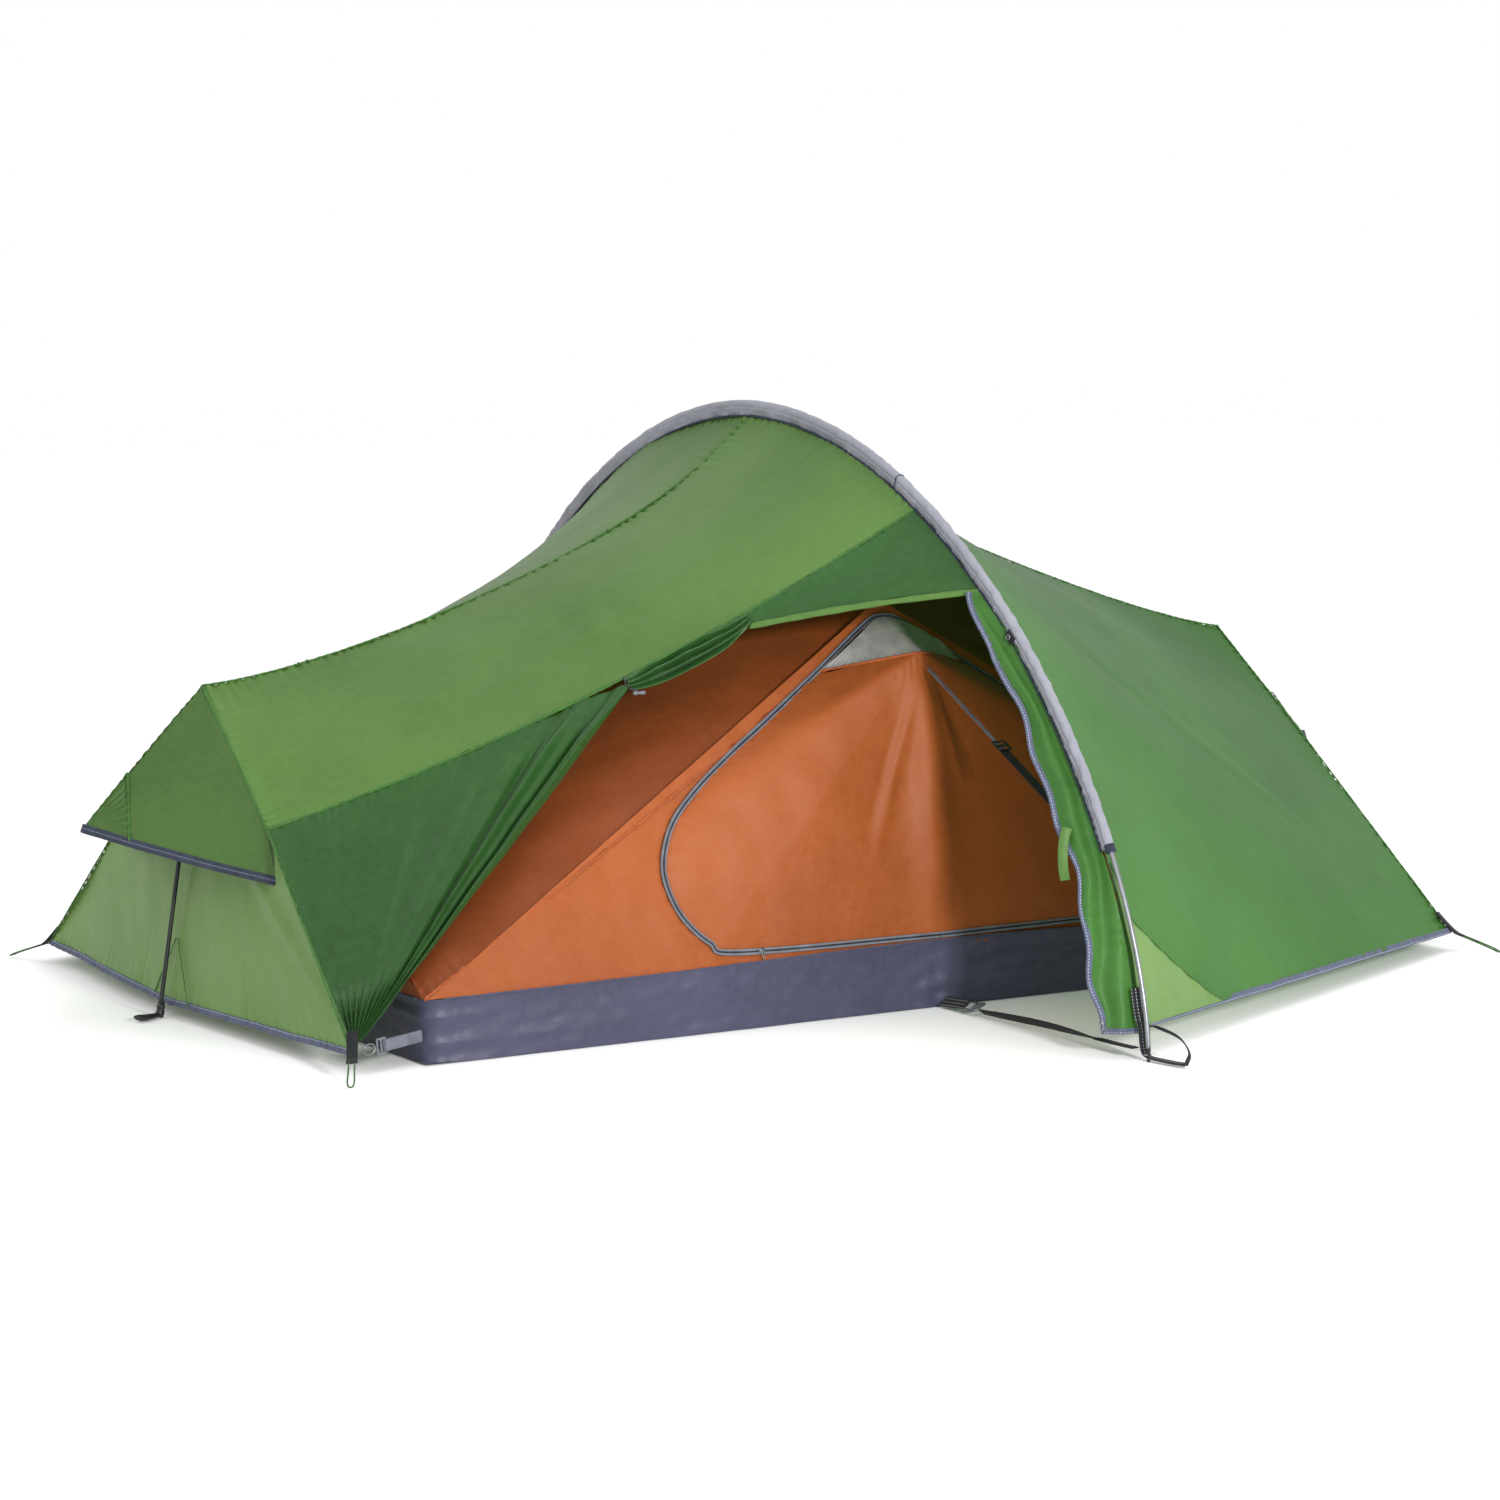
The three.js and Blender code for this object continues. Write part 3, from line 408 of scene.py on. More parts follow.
def pucker(points, edge, height=0.0014, pitch=0.022, reach=0.022, seed=1):
    """Gathers made by a seam's thread: short ridges that leave one edge of the grid and die away."""
    axis, end = {"u0": (0, 0), "u1": (0, 1), "v0": (1, 0), "v1": (1, 1)}[edge]
    away = lengths(points, axis)
    if end:
        away = away.take([-1], axis=axis) - away
    along = lengths(points, 1 - axis)
    along = along.take([-1 if end else 0], axis=axis) + 0 * away
    rng = np.random.default_rng(seed)
    phase = sum(np.sin(along / w + rng.uniform(0, 6)) for w in (0.013, 0.031, 0.083))
    strength = 0.65 + 0.35 * np.sin(along / 0.051 + rng.uniform(0, 6)) * np.sin(along / 0.023)
    local = reach * (1 + 0.5 * np.sin(along / 0.037 + rng.uniform(0, 6)))
    return height * strength * np.exp(-away / local) * np.sin(2 * np.pi * along / pitch + phase)


def crease(points, a, b, width, height, fade=0.5):
    """A long soft fold from a to b that fades towards its ends."""
    a, b = np.array(a, float), np.array(b, float)
    run = b - a
    t = ((points - a) @ run) / (run @ run)
    foot = a + np.clip(t, 0, 1)[..., None] * run
    away = np.linalg.norm(points - foot, axis=-1)
    ends = np.clip(np.minimum(t, 1 - t) / (0.5 * fade), 0, 1)
    return height * np.exp(-((away / width) ** 2)) * np.sin(ends * np.pi / 2)


def fan_of_creases(points, origin, targets, count, width, height, seed, start=0.0):
    """Tension folds that leave one point towards places spread along a line between two targets."""
    rng = np.random.default_rng(seed)
    total = np.zeros(points.shape[:-1])
    origin = np.array(origin, float)
    for k in range(count):
        share = (k + rng.uniform(0.2, 0.8)) / count
        goal = mix(targets[0], targets[1], share)
        far = origin + (goal - origin) * rng.uniform(0.55, 1.0)
        near = origin + (goal - origin) * start
        sign = 1 if k % 2 else -0.7
        wide = width * rng.uniform(0.7, 1.3)
        high = sign * height * rng.uniform(0.6, 1.2)
        total += crease(points, near, far, wide, high, 0.9)
    return total


def mesh_object(name, vertices, faces, uvs, material):
    mesh = bpy.data.meshes.new(name)
    mesh.from_pydata([tuple(v) for v in vertices], [], faces)
    if uvs is not None:
        layer = mesh.uv_layers.new(name="cloth")
        loop_vertex = np.zeros(len(mesh.loops), np.int32)
        mesh.loops.foreach_get("vertex_index", loop_vertex)
        layer.data.foreach_set("uv", np.asarray(uvs, np.float32)[loop_vertex].ravel())
    mesh.polygons.foreach_set("use_smooth", [True] * len(mesh.polygons))
    mesh.materials.append(material)
    mesh.update()
    made = bpy.data.objects.new(name, mesh)
    bpy.context.scene.collection.objects.link(made)
    return made


def grid_object(name, points, material, closed=False):
    """A smooth mesh through a grid of points, with UVs in metres of cloth."""
    rows, cols = points.shape[:2]
    index = np.arange(rows * cols).reshape(rows, cols)
    right = np.roll(index, -1, axis=1) if closed else index[:, 1:]
    left = index if closed else index[:, :-1]
    quads = np.stack([left[:-1], left[1:], right[1:], right[:-1]], axis=-1).reshape(-1, 4)
    mid_u, mid_v = lengths(points, 0)[:, cols // 2], lengths(points, 1)[rows // 2]
    uvs = np.stack(np.meshgrid(mid_u, mid_v, indexing="ij"), axis=-1).reshape(-1, 2)
    return mesh_object(name, points.reshape(-1, 3), quads.tolist(), uvs, material)


def piece(made, body="tent", stands_for=()):
    """Hangs a finished object on its CAD body and hides the CAD nodes that it stands for."""
    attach(made, body)
    if stands_for:
        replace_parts(made, *([stands_for] if isinstance(stands_for, str) else stands_for))
    return made


def edge_size(smooth):
    """A panel's longest run down an edge and its run across the middle, in metres."""
    across, down = lengths(smooth, 1), lengths(smooth, 0)
    return float(down[-1].max()), float(across[len(smooth) // 2, -1])


def middle_size(smooth):
    """A panel's widest run across and its run down the middle, in metres."""
    across, down = lengths(smooth, 1), lengths(smooth, 0)
    return float(across[:, -1].max()), float(down[-1, smooth.shape[1] // 2])


def cloth_sheet(name, smooth, lift, material, node, body="tent",
                outward=None, flat=None):
    """One cloth panel: its smooth cut surface, lifted along its normals by folds and puckers."""
    made = grid_object(name, smooth + normals(smooth, outward) * lift[..., None], material)
    piece(made, body, node)
    width, length = flat or edge_size(smooth)
    return made


def frames_along(points, hint):
    """Directions across and out of a line of points: tangent, side and face, with the face near the hint."""
    tangent = unit(np.gradient(points, axis=0))
    hint = np.broadcast_to(np.asarray(hint, float), points.shape)
    side = unit(np.cross(tangent, hint))
    return tangent, side, np.cross(side, tangent)


def swept(name, points, section, hint, material, closed_section=True, caps=True):
    """Sweeps a section, given as (aside, outwards) pairs or one such list per point, along a line."""
    points = np.asarray(points, float)
    _, side, face = frames_along(points, hint)
    section = np.asarray(section, float)
    if section.ndim == 2:
        section = np.broadcast_to(section, (len(points),) + section.shape)
    grid = points[:, None] + side[:, None] * section[..., :1] + face[:, None] * section[..., 1:]
    rows, cols = grid.shape[:2]
    index = np.arange(rows * cols).reshape(rows, cols)
    left = index if closed_section else index[:, :-1]
    right = np.roll(index, -1, axis=1) if closed_section else index[:, 1:]
    faces = np.stack([left[:-1], right[:-1], right[1:], left[1:]], axis=-1).reshape(-1, 4).tolist()
    if caps and closed_section:
        faces += [index[0][::-1].tolist(), index[-1].tolist()]
    along = lengths(points[:, None].repeat(2, 1), 0)[:, 0]
    around = np.concatenate([[0], np.cumsum(np.linalg.norm(np.diff(section[0], axis=0), axis=-1))])
    uvs = np.stack(np.meshgrid(along, around, indexing="ij"), axis=-1).reshape(-1, 2)
    return mesh_object(name, grid.reshape(-1, 3), faces, uvs, material)


def flat_section(width, thickness, corner=0.3):
    """The section of a tape: a flat bar with rounded edges."""
    w, h = width / 2, thickness / 2
    c = min(corner * thickness, h * 0.9)
    lower = [(-w + c, -h), (w - c, -h), (w, -h + c), (w, h - c)]
    return lower + [(-x, -y) for x, y in lower]


def round_section(radius, sides=12):
    turn = np.linspace(0, 2 * np.pi, sides, endpoint=False)
    return np.stack([radius * np.cos(turn), radius * np.sin(turn)], axis=-1)


def smooth_line(knots, count=60):
    """A Catmull-Rom line through given points, evenly spaced."""
    p = np.asarray(knots, float)
    p = np.vstack([2 * p[0] - p[1], p, 2 * p[-1] - p[-2]])
    t = np.linspace(0, len(p) - 3 - 1e-9, count * 4)
    k = t.astype(int)
    f = (t - k)[:, None]
    a, b, c, d = p[k], p[k + 1], p[k + 2], p[k + 3]
    line = 0.5 * (2 * b + (c - a) * f + (2 * a - 5 * b + 4 * c - d) * f**2 + (3 * b - a - 3 * c + d) * f**3)
    run = np.concatenate([[0], np.cumsum(np.linalg.norm(np.diff(line, axis=0), axis=-1))])
    even = np.linspace(0, run[-1], count)
    return np.stack([np.interp(even, run, line[:, i]) for i in range(3)], axis=-1)


def tape(name, points, hint, width, thickness, material, body="tent", wave=0.0, seed=1,
         stands_for=(), slot=None):
    """A length of webbing or binding, a little uneven along its run."""
    points = np.asarray(points, float)
    if wave:
        _, side, face = frames_along(points, hint)
        points = points + face * (wave * ripple(points, 0.09, seed))[:, None]
        points = points + side * (0.5 * wave * ripple(points, 0.13, seed + 7))[:, None]
    made = swept(name, points, flat_section(width, thickness), hint, material)
    return piece(made, body, stands_for)


def seam(name, points, hint, material, width=0.005, height=0.0016, seed=3):
    """A felled seam: a low raised cord of folded cloth that is nipped at each stitch."""
    points = np.asarray(points, float)
    run = lengths(points[:, None].repeat(2, 1), 0)[:, 0]
    nip = 1 + 0.22 * np.sin(2 * np.pi * run / 0.017) + 0.15 * ripple(points, 0.05, seed)
    turn = np.linspace(0, 2 * np.pi, 8, endpoint=False)
    base = np.stack([width / 2 * np.cos(turn), height * np.sin(turn)], axis=-1)
    made = swept(name, points, base[None] * nip[:, None, None], hint, material)
    return piece(made)


def line_of(function, count=160):
    return function(np.linspace(0, 1, count))


# ---- the tent's guiding curves --------------------------------------------------------------------
def arch_point(angle, inset):
    c = np.cos(angle)
    y = -(ARCH_HALF_SPAN - inset) * np.sign(c) * np.abs(c) ** ARCH_SPREAD_POWER
    return arr(0 * y, y, (ARCH_HEIGHT - inset) * np.abs(np.sin(angle)) ** ARCH_RISE_POWER)


def angle_at_height(z, inset):
    return math.asin((z / (ARCH_HEIGHT - inset)) ** (1 / ARCH_RISE_POWER))


def ridge_point(side, u):
    rise = ARCH_HEIGHT - PANEL_INSET - END_APEX[2]
    share, power = (0.83, 1.45) if side < 0 else (0.89, 1.25)
    left = np.clip(1 - np.asarray(u, float), 0, 1)
    height = END_APEX[2] + rise * (share * left**power + (1 - share) * left**8)
    return arr(side * END_APEX[0] * u, 0 * left, height)


def roof_seam_point(side, u):
    u = np.asarray(u, float)
    point = mix(arch_point(SEAM_ANGLE, PANEL_INSET), flipped(SHOULDER, side, -1), u)
    point[..., 2] -= SEAM_SAG * u * (1 - u)
    return point


def patch(arch, end, top, hem):
    """A surface filled in between four edges: u from the arch to the tent's end, v from top to hem."""
    def whole(u, v):
        uu, vv = u[..., None], v[..., None]
        corners = arch(0.0), arch(1.0), end(0.0), end(1.0)
        filled = top(u) * (1 - vv) + hem(u) * vv + arch(v) * (1 - uu) + end(v) * uu
        filled -= corners[0] * (1 - uu) * (1 - vv) + corners[1] * (1 - uu) * vv
        return filled - corners[2] * uu * (1 - vv) - corners[3] * uu * vv
    return whole


def arch_run(start, end, inset=PANEL_INSET):
    return lambda v: arch_point(start + np.asarray(v, float) * (end - start), inset)


def quarter(side, front):
    """A whole quarter of the flysheet, from the ridge to the hem."""
    hem_angle = angle_at_height(ARCH_HEM_HEIGHT, PANEL_INSET)
    foot, corner = arch_point(hem_angle, PANEL_INSET), flipped(CORNER, side, -1)
    apex, shoulder = flipped(END_APEX, side, 1), flipped(SHOULDER, side, -1)

    def end(v):
        return bent_line(apex, shoulder, corner, SHOULDER_BEND, v)

    def hem(u):
        return mix(foot, corner, u)

    whole = patch(arch_run(math.pi / 2, hem_angle), end, lambda u: ridge_point(side, u), hem)
    return lambda u, v: whole(u, v) * (1, front, 1)


def roof_left_front(u, v):
    def end(t):
        return mix(flipped(END_APEX, -1, 1), flipped(SHOULDER, -1, -1), t)

    def seam_edge(t):
        return roof_seam_point(-1, t)

    return patch(arch_run(math.pi / 2, SEAM_ANGLE), end, lambda t: ridge_point(-1, t), seam_edge)(u, v)


# ---- flysheet -------------------------------------------------------------------------------------
def side_panel(name, node, side, front, material, seed):
    """One tall panel from ridge to hem, drum-tight between the arch and the corner peg."""
    smooth = surface(quarter(side, front), 150, 170)
    corner, apex = flipped(CORNER, side, -front), flipped(END_APEX, side, 1)
    shoulder = flipped(SHOULDER, side, -front)
    lift = 0.0035 * ripple(smooth, 0.42, seed) + 0.0012 * ripple(smooth, 0.14, seed + 1)
    lift += pucker(smooth, "u0", 0.0022, 0.03, 0.035, seed)
    lift += pucker(smooth, "v0", 0.0034, 0.021, 0.03, seed + 1)
    lift += pucker(smooth, "u1", 0.0024, 0.024, 0.03, seed + 2)
    lift += pucker(smooth, "v1", 0.0020, 0.03, 0.03, seed + 3)
    foot = np.array((0, -front * ARCH_HALF_SPAN * 0.97, 0.07))
    ends = np.array((0, -front * 1.05, 0.7)), np.array((0, -front * 0.5, 1.02))
    lift += fan_of_creases(smooth, corner, ends, 7, 0.022, 0.0035, seed + 4, 0.02)
    lift += fan_of_creases(smooth, apex, (foot, ends[0]), 5, 0.03, 0.003, seed + 5, 0.03)
    lift += fan_of_creases(smooth, foot, (corner, shoulder), 5, 0.02, 0.003, seed + 6, 0.02)
    cloth_sheet(name, smooth, lift, material, node)


def add_roof():
    smooth = surface(roof_left_front, 190, 110)
    apex, shoulder = flipped(END_APEX, -1, 1), flipped(SHOULDER, -1, -1)
    top, low = arch_point(math.pi / 2, PANEL_INSET), arch_point(SEAM_ANGLE, PANEL_INSET)
    lift = 0.0035 * ripple(smooth, 0.4, 21) + 0.0012 * ripple(smooth, 0.13, 22)
    lift += pucker(smooth, "v0", 0.0042, 0.021, 0.034, 23) + pucker(smooth, "v1", 0.0012, 0.024, 0.018, 24)
    lift += pucker(smooth, "u0", 0.0024, 0.026, 0.035, 25) + pucker(smooth, "u1", 0.0022, 0.02, 0.035, 26)
    ends = mix(apex, top, 0.2), mix(apex, shoulder, 0.8)
    lift += fan_of_creases(smooth, low, ends, 7, 0.013, 0.0030, 30, 0.01)
    lift += fan_of_creases(smooth, apex, (top, low), 6, 0.028, 0.0035, 27, 0.03)
    lift += fan_of_creases(smooth, shoulder, (mix(top, low, 0.4), low), 6, 0.024, 0.0035, 28, 0.03)
    tie = roof_seam_point(-1, DOOR_TIE)
    lift += fan_of_creases(smooth, tie, (mix(apex, top, 0.35), mix(apex, top, 0.7)), 5, 0.03, 0.004, 29)
    cloth_sheet("fly_roof_left_front", smooth, lift, FLY, "roof_left_front")


def add_door():
    """The door panel: a tight triangle down to the corner, its free side drawn into folds at the tie."""
    corner = flipped(CORNER, -1, -1)
    tie = roof_seam_point(-1, DOOR_TIE) + (0.004, -0.016, -0.014)

    def triangle(u, v):
        top = roof_seam_point(-1, 1 - (1 - DOOR_TIE) * u) + (0, -0.001, -0.002)
        near = np.clip((u - 0.86) / 0.14, 0, 1)[..., None]
        top = top + (tie - top) * near**2
        share = v[..., None]
        reach = 0.985 - 0.02 * u[..., None]
        return top + (corner + (0.004, 0, 0.003) - top) * share * reach

    smooth = surface(triangle, 200, 170, (0.2, 0.5))
    u, v = np.meshgrid(stations(200, 0.2), stations(170, 0.5), indexing="ij")
    lift = 0.004 * ripple(smooth, 0.5, 31) + 0.001 * ripple(smooth, 0.12, 32)
    bunch = np.clip((u - 0.66) / 0.34, 0, 1)
    folds = np.sin(2 * np.pi * (2.4 * bunch**1.5) + 0.5 * np.sin(4 * v) + 0.4)
    folds += 0.30 * np.sin(2 * np.pi * (6.5 * bunch**1.5) + 1.3 * np.sin(3 * v))
    lift += 0.019 * bunch**0.7 * folds * np.clip(v * 6, 0.2, 1) * (1 - v) ** 0.55
    slack = np.exp(-(((u - 0.60) / 0.05) ** 2)) + 0.6 * np.exp(-(((u - 0.43) / 0.035) ** 2))
    lift += 0.010 * slack * (1 - v) * np.clip(v * 3, 0, 1)
    pleats = np.sin(2 * np.pi * 11 * u + 1.5 * np.sin(7 * u))
    lift += 0.0045 * pleats * np.exp(-(((1 - v) - 0.10) ** 2) / 0.010)
    lift += pucker(smooth, "v0", 0.0014, 0.022, 0.02, 33) * (1 - bunch)
    lift += pucker(smooth, "u0", 0.0014, 0.024, 0.03, 34)
    # The panel as modelled is the gathered piece, about a quarter of the cloth that the closed door takes.
    cloth_sheet("fly_front_door", smooth, lift, DOOR_GREEN, "front_door")

    def swag(u, v):
        share = DOOR_TIE + (1 - GATHER_END - DOOR_TIE) * u
        top = roof_seam_point(-1, share) + (0, -0.002, -0.004)
        drop = 0.014 + 0.028 * np.sin(np.pi * np.clip(u, 0, 1)) ** 0.6
        hang = np.sin(np.pi * v)
        return top + arr(0 * u, -0.34 * drop * v - 0.010 * hang, -drop * v)

    smooth = surface(swag, 130, 60, (0.3, 0.2))
    u, v = np.meshgrid(stations(130, 0.3), stations(60, 0.2), indexing="ij")
    folds = np.sin(2 * np.pi * (3.4 * v + 0.25 * np.sin(4 * u)) + 1.2)
    lift = 0.009 * folds * (0.45 + 0.55 * np.sin(np.pi * u)) + 0.002 * ripple(smooth, 0.05, 36)
    made = grid_object("fly_door_gather", smooth + normals(smooth) * lift[..., None], DOOR_GREEN)
    piece(made)


def gable_edges():
    low = arch_point(GABLE_ANGLE, PANEL_INSET)
    end = roof_seam_point(-1, GABLE_REACH) + (0, -0.008, -0.020)
    return low, end


def add_gable():
    low, end = gable_edges()

    def top(s):
        return roof_seam_point(-1, np.asarray(s, float) * GABLE_REACH)

    def edge(t):
        return mix(top(1.0), end, t)

    def hem(s):
        line = mix(low, end, s)
        line[..., 2] += 0.006 * np.sin(np.pi * np.asarray(s, float))
        return line
    smooth = surface(patch(arch_run(SEAM_ANGLE, GABLE_ANGLE), edge, top, hem), 90, 60)
    lift = 0.002 * ripple(smooth, 0.2, 41) + pucker(smooth, "v0", 0.0016, 0.02, 0.02, 42)
    lift += fan_of_creases(smooth, low, (end, top(1.0)), 4, 0.012, 0.003, 43, 0.03)
    lift += fan_of_creases(smooth, end, (low, arch_point(SEAM_ANGLE, PANEL_INSET)), 4, 0.012, 0.003, 44, 0.05)
    cloth_sheet("fly_gable", smooth, lift, DOOR_GREEN, "doorway_gable")
    rolled = line_of(hem, 90) + (0, -0.004, -0.006)
    turn = np.linspace(0, 2 * np.pi, 10, endpoint=False)
    size = 1 + 0.18 * ripple(rolled, 0.07, 45)
    section = np.stack([0.0062 * np.cos(turn), 0.0035 * np.sin(turn)], axis=-1)[None] * size[:, None, None]
    piece(swept("gable_rolled_hem", rolled, section, (0, -0.8, 0.3), FLY))


def flap_point(s, t):
    hem_angle = angle_at_height(FLAP_HEM_HEIGHT, PANEL_INSET)
    edge = arch_point(FLAP_VISIBLE_TOP + s * (hem_angle - FLAP_VISIBLE_TOP), PANEL_INSET)
    taper = 0.5 + 0.5 * np.clip(s / 0.16, 0, 1) ** 0.7
    sway = 1 + 0.10 * np.sin(2 * np.pi * 2.6 * s + 0.6)
    width = (0.046 + 0.026 * s) * taper * sway + 0.004 * np.sin(2 * np.pi * 6 * s)
    way = arr(-0.86 * width * t - 0.002, 0.48 * width * t, 0 * width)
    return edge + way


def add_flap():
    smooth = surface(flap_point, 230, 40, (0.1, 0.1))
    s, t = np.meshgrid(stations(230, 0.1), stations(40, 0.1), indexing="ij")
    long_folds = np.sin(2 * np.pi * (1.3 * t + 0.5 * np.sin(4.2 * s)) + 0.6)
    lift = 0.007 * long_folds * np.clip(s * 5, 0, 1) + 0.0022 * ripple(smooth, 0.09, 52)
    lift += 0.004 * t * np.sin(2 * np.pi * 5.3 * s + 0.4 * np.sin(11 * s))
    lift += pucker(smooth, "v0", 0.001, 0.02, 0.02, 53) + pucker(smooth, "v1", 0.0012, 0.016, 0.012, 54)
    folded = smooth + normals(smooth) * lift[..., None]
    # The flap takes the darker copy of the fly cloth, a painted shade.
    cloth_sheet("fly_doorway_flap", smooth, lift, FLY_PAINTED_SHADE, "doorway_flap")
    tape("flap_binding", folded[:, -1], (-0.6, -0.8, 0), 0.011, 0.0022, BINDING)
    tape("flap_hem_binding", folded[-1], (0, -0.4, 1), 0.0025, 0.010, BINDING)


def add_fly_trim():
    outward_up = (0, 0, 1)
    for side, end in ((-1, "left"), (1, "right")):
        ridge = line_of(lambda u: ridge_point(side, u), 220)
        seam(f"seam_ridge_{end}", ridge + (0, 0, 0.001), outward_up, SEAM_GREEN, 0.006, 0.0018, 61 + side)
        for front, half in ((1, "front"), (-1, "back")):
            way = (side, -front, 0.6)
            apex, shoulder = flipped(END_APEX, side, 1), flipped(SHOULDER, side, -front)
            corner = flipped(CORNER, side, -front)
            edge = line_of(lambda t: mix(apex, shoulder, t), 80)
            seam(f"seam_hood_{end}_{half}", edge, way, SEAM_GREEN, 0.006, 0.0018, 71)
            edge = line_of(lambda t: mix(shoulder, corner, t), 90)
            seam(f"seam_corner_{end}_{half}", edge, way, SEAM_GREEN, 0.005, 0.0016, 73)
            if (side, front) != (-1, 1):
                hem = line_of(lambda u: quarter(side, front)(u, np.ones_like(u)), 160)
                tape(f"hem_binding_{end}_{half}", hem, (0, -front * 0.9, 0.5), *BINDING_SIZE, BINDING,
                     wave=0.0012, seed=75)
    seam_line = line_of(lambda u: roof_seam_point(-1, u), 200)
    seam("seam_roof_left_front", seam_line, (0, -0.8, 0.6), SEAM_GREEN, 0.006, 0.002, 77)


def along_hem(points, a, b):
    """Distance from the straight line through a and b."""
    way = unit(b - a)
    off = points - a
    return np.linalg.norm(off - (off @ way)[..., None] * way, axis=-1)


def add_hood(side, front, end, half):
    apex, tip = flipped(END_APEX, side, 1), flipped(HOOD_TIP, side, 1)
    low, shoulder = flipped(HOOD_SIDE, side, -front), flipped(SHOULDER, side, -front)

    def flat(u, v):
        return mix(mix(apex, tip, u), mix(shoulder, low, u), v)

    smooth = surface(flat, 90, 90)
    seed = 81 + 2 * side + front
    inside = (side * 1.1, 0, 0.3)
    lift = 0.003 * ripple(smooth, 0.3, seed) + pucker(smooth, "v0", 0.0014, 0.02, 0.016, seed)
    lift += pucker(smooth, "v1", 0.0014, 0.02, 0.016, seed + 1)
    lift += pucker(smooth, "u0", 0.001, 0.02, 0.02, seed + 2)
    seam_low, seam_high = mix(tip, low, 0.25), mix(tip, apex, 0.38)
    sides = np.stack([seam_low - tip, seam_high - tip], axis=-1)
    shares = (smooth - tip) @ np.linalg.pinv(sides).T
    to_seam = shares.sum(axis=-1)
    up_seam = shares[..., 1] / np.maximum(to_seam, 1e-6)
    pleated = np.clip(to_seam, 0, 1) ** 1.3 * np.clip((1.02 - to_seam) / 0.05, 0, 1)
    lift += 0.0042 * pleated * np.sin(2 * np.pi * (8 * up_seam + 0.1)) * np.clip((1 - up_seam) * 8, 0, 1)
    lift *= np.clip((along_hem(smooth, tip, low)) / 0.03, 0.08, 1)
    # The hood is coloured darker than the rest of the fly, as painted shade.
    cloth_sheet(f"fly_hood_{end}_{half}", smooth, lift, HOOD_PAINTED_SHADE, f"hood_{end}_{half}",
                outward=inside)
    edge = line_of(lambda t: mix(tip, low, t), 80)
    edge[:, 2] -= 0.004 * np.sin(np.pi * np.linspace(0, 1, 80))
    tape(f"hood_edge_{end}_{half}", edge, (side * 0.8, -front * 0.5, 0.3), 0.017, 0.0050, HOOD_EDGE,
         wave=0.0008, seed=seed)
    gusset_line = line_of(lambda t: mix(seam_low, seam_high, t), 40)
    out = normals(smooth, inside)[45, 45]
    seam(f"seam_gusset_{end}_{half}", gusset_line + out * 0.003, out, SEAM_GREEN, 0.004, 0.0016, seed)


def add_end_wall(side, end):
    top, middle = flipped(END_WALL_TOP, side, 1), flipped(END_HEM_MIDDLE, side, 1)

    def half_wall(u, v):
        """u from the middle to the corner side, v from top to hem, over both halves."""
        sy = np.sign(u - 0.5)
        away = np.abs(2 * u - 1)
        ends = np.array(SHOULDER) + (-0.005, -0.004, -0.002), np.array(CORNER) + (-0.004, -0.002, 0)
        outer = mix(ends[0], ends[1], v) * arr(side + 0 * v, sy, 1 + 0 * v)
        inner = mix(top, middle, v)
        return mix(inner, outer, away)

    smooth = surface(half_wall, 181, 100, (0.0, 0.4))
    u, v = np.meshgrid(stations(181, 0.0), stations(100, 0.4), indexing="ij")
    seed = 95 + side
    away = np.abs(smooth[..., 1])
    inside = (side * 0.6, 0, 0.3)
    lift = 0.005 * ripple(smooth, 0.3, seed) + 0.0016 * ripple(smooth, 0.09, seed + 1)
    lift += pucker(smooth, "u0", 0.0014, 0.022, 0.03, seed)
    lift += pucker(smooth, "u1", 0.0014, 0.022, 0.03, seed + 1)
    lift += pucker(smooth, "v1", 0.0030, 0.026, 0.045, seed + 2)
    lift += -0.014 * np.exp(-((away / 0.05) ** 2)) * (1 - v) + 0.003 * np.exp(-((away / 0.006) ** 2))
    for sy in (-1, 1):
        corner = flipped(CORNER, side, sy)
        ends = top, mix(top, middle, 0.6)
        lift += fan_of_creases(smooth, corner, ends, 4, 0.02, 0.004, seed + 3 + sy, 0.03)
    name = f"fly_end_wall_{end}"
    cloth_sheet(name, smooth, lift, LIGHT_GREEN, f"end_wall_{end}", outward=inside)
    folded = smooth + normals(smooth, inside) * lift[..., None]
    hem = folded[:, -1] + (side * 0.001, 0, 0)
    tape(f"end_hem_binding_{end}", hem, (side, 0, 0.2), *BINDING_SIZE, BINDING, wave=0.0008, seed=97)
    for sy, half in ((-1, "front"), (1, "back")):
        out = np.array((side, 0, 0))
        knots = [middle + (0, sy * 0.085, 0.0), middle + (-0.02 * side, sy * 0.004, 0.12)]
        line = line_of(lambda t: mix(knots[0] + out * -0.003, knots[1], t), 40)
        seam(f"seam_patch_{end}_{half}", line + out * 0.002, (side, 0, 0.1), SEAM_GREEN, 0.003, 0.001, 99)


for side_now, end_now in ((-1, "left"), (1, "right")):
    for front_now, half_now in ((1, "front"), (-1, "back")):
        add_hood(side_now, front_now, end_now, half_now)
        if (side_now, front_now) != (-1, 1):
            # The right-hand panels take the darker copy of the fly cloth, a painted shade.
            paint = FLY if side_now < 0 else FLY_PAINTED_SHADE
            node_now = f"side_{end_now}_{half_now}"
            seed_now = 100 + 10 * side_now + front_now
            side_panel(f"fly_{node_now}", node_now, side_now, front_now, paint, seed_now)
    add_end_wall(side_now, end_now)
add_roof()
add_door()
add_gable()
add_flap()
add_fly_trim()


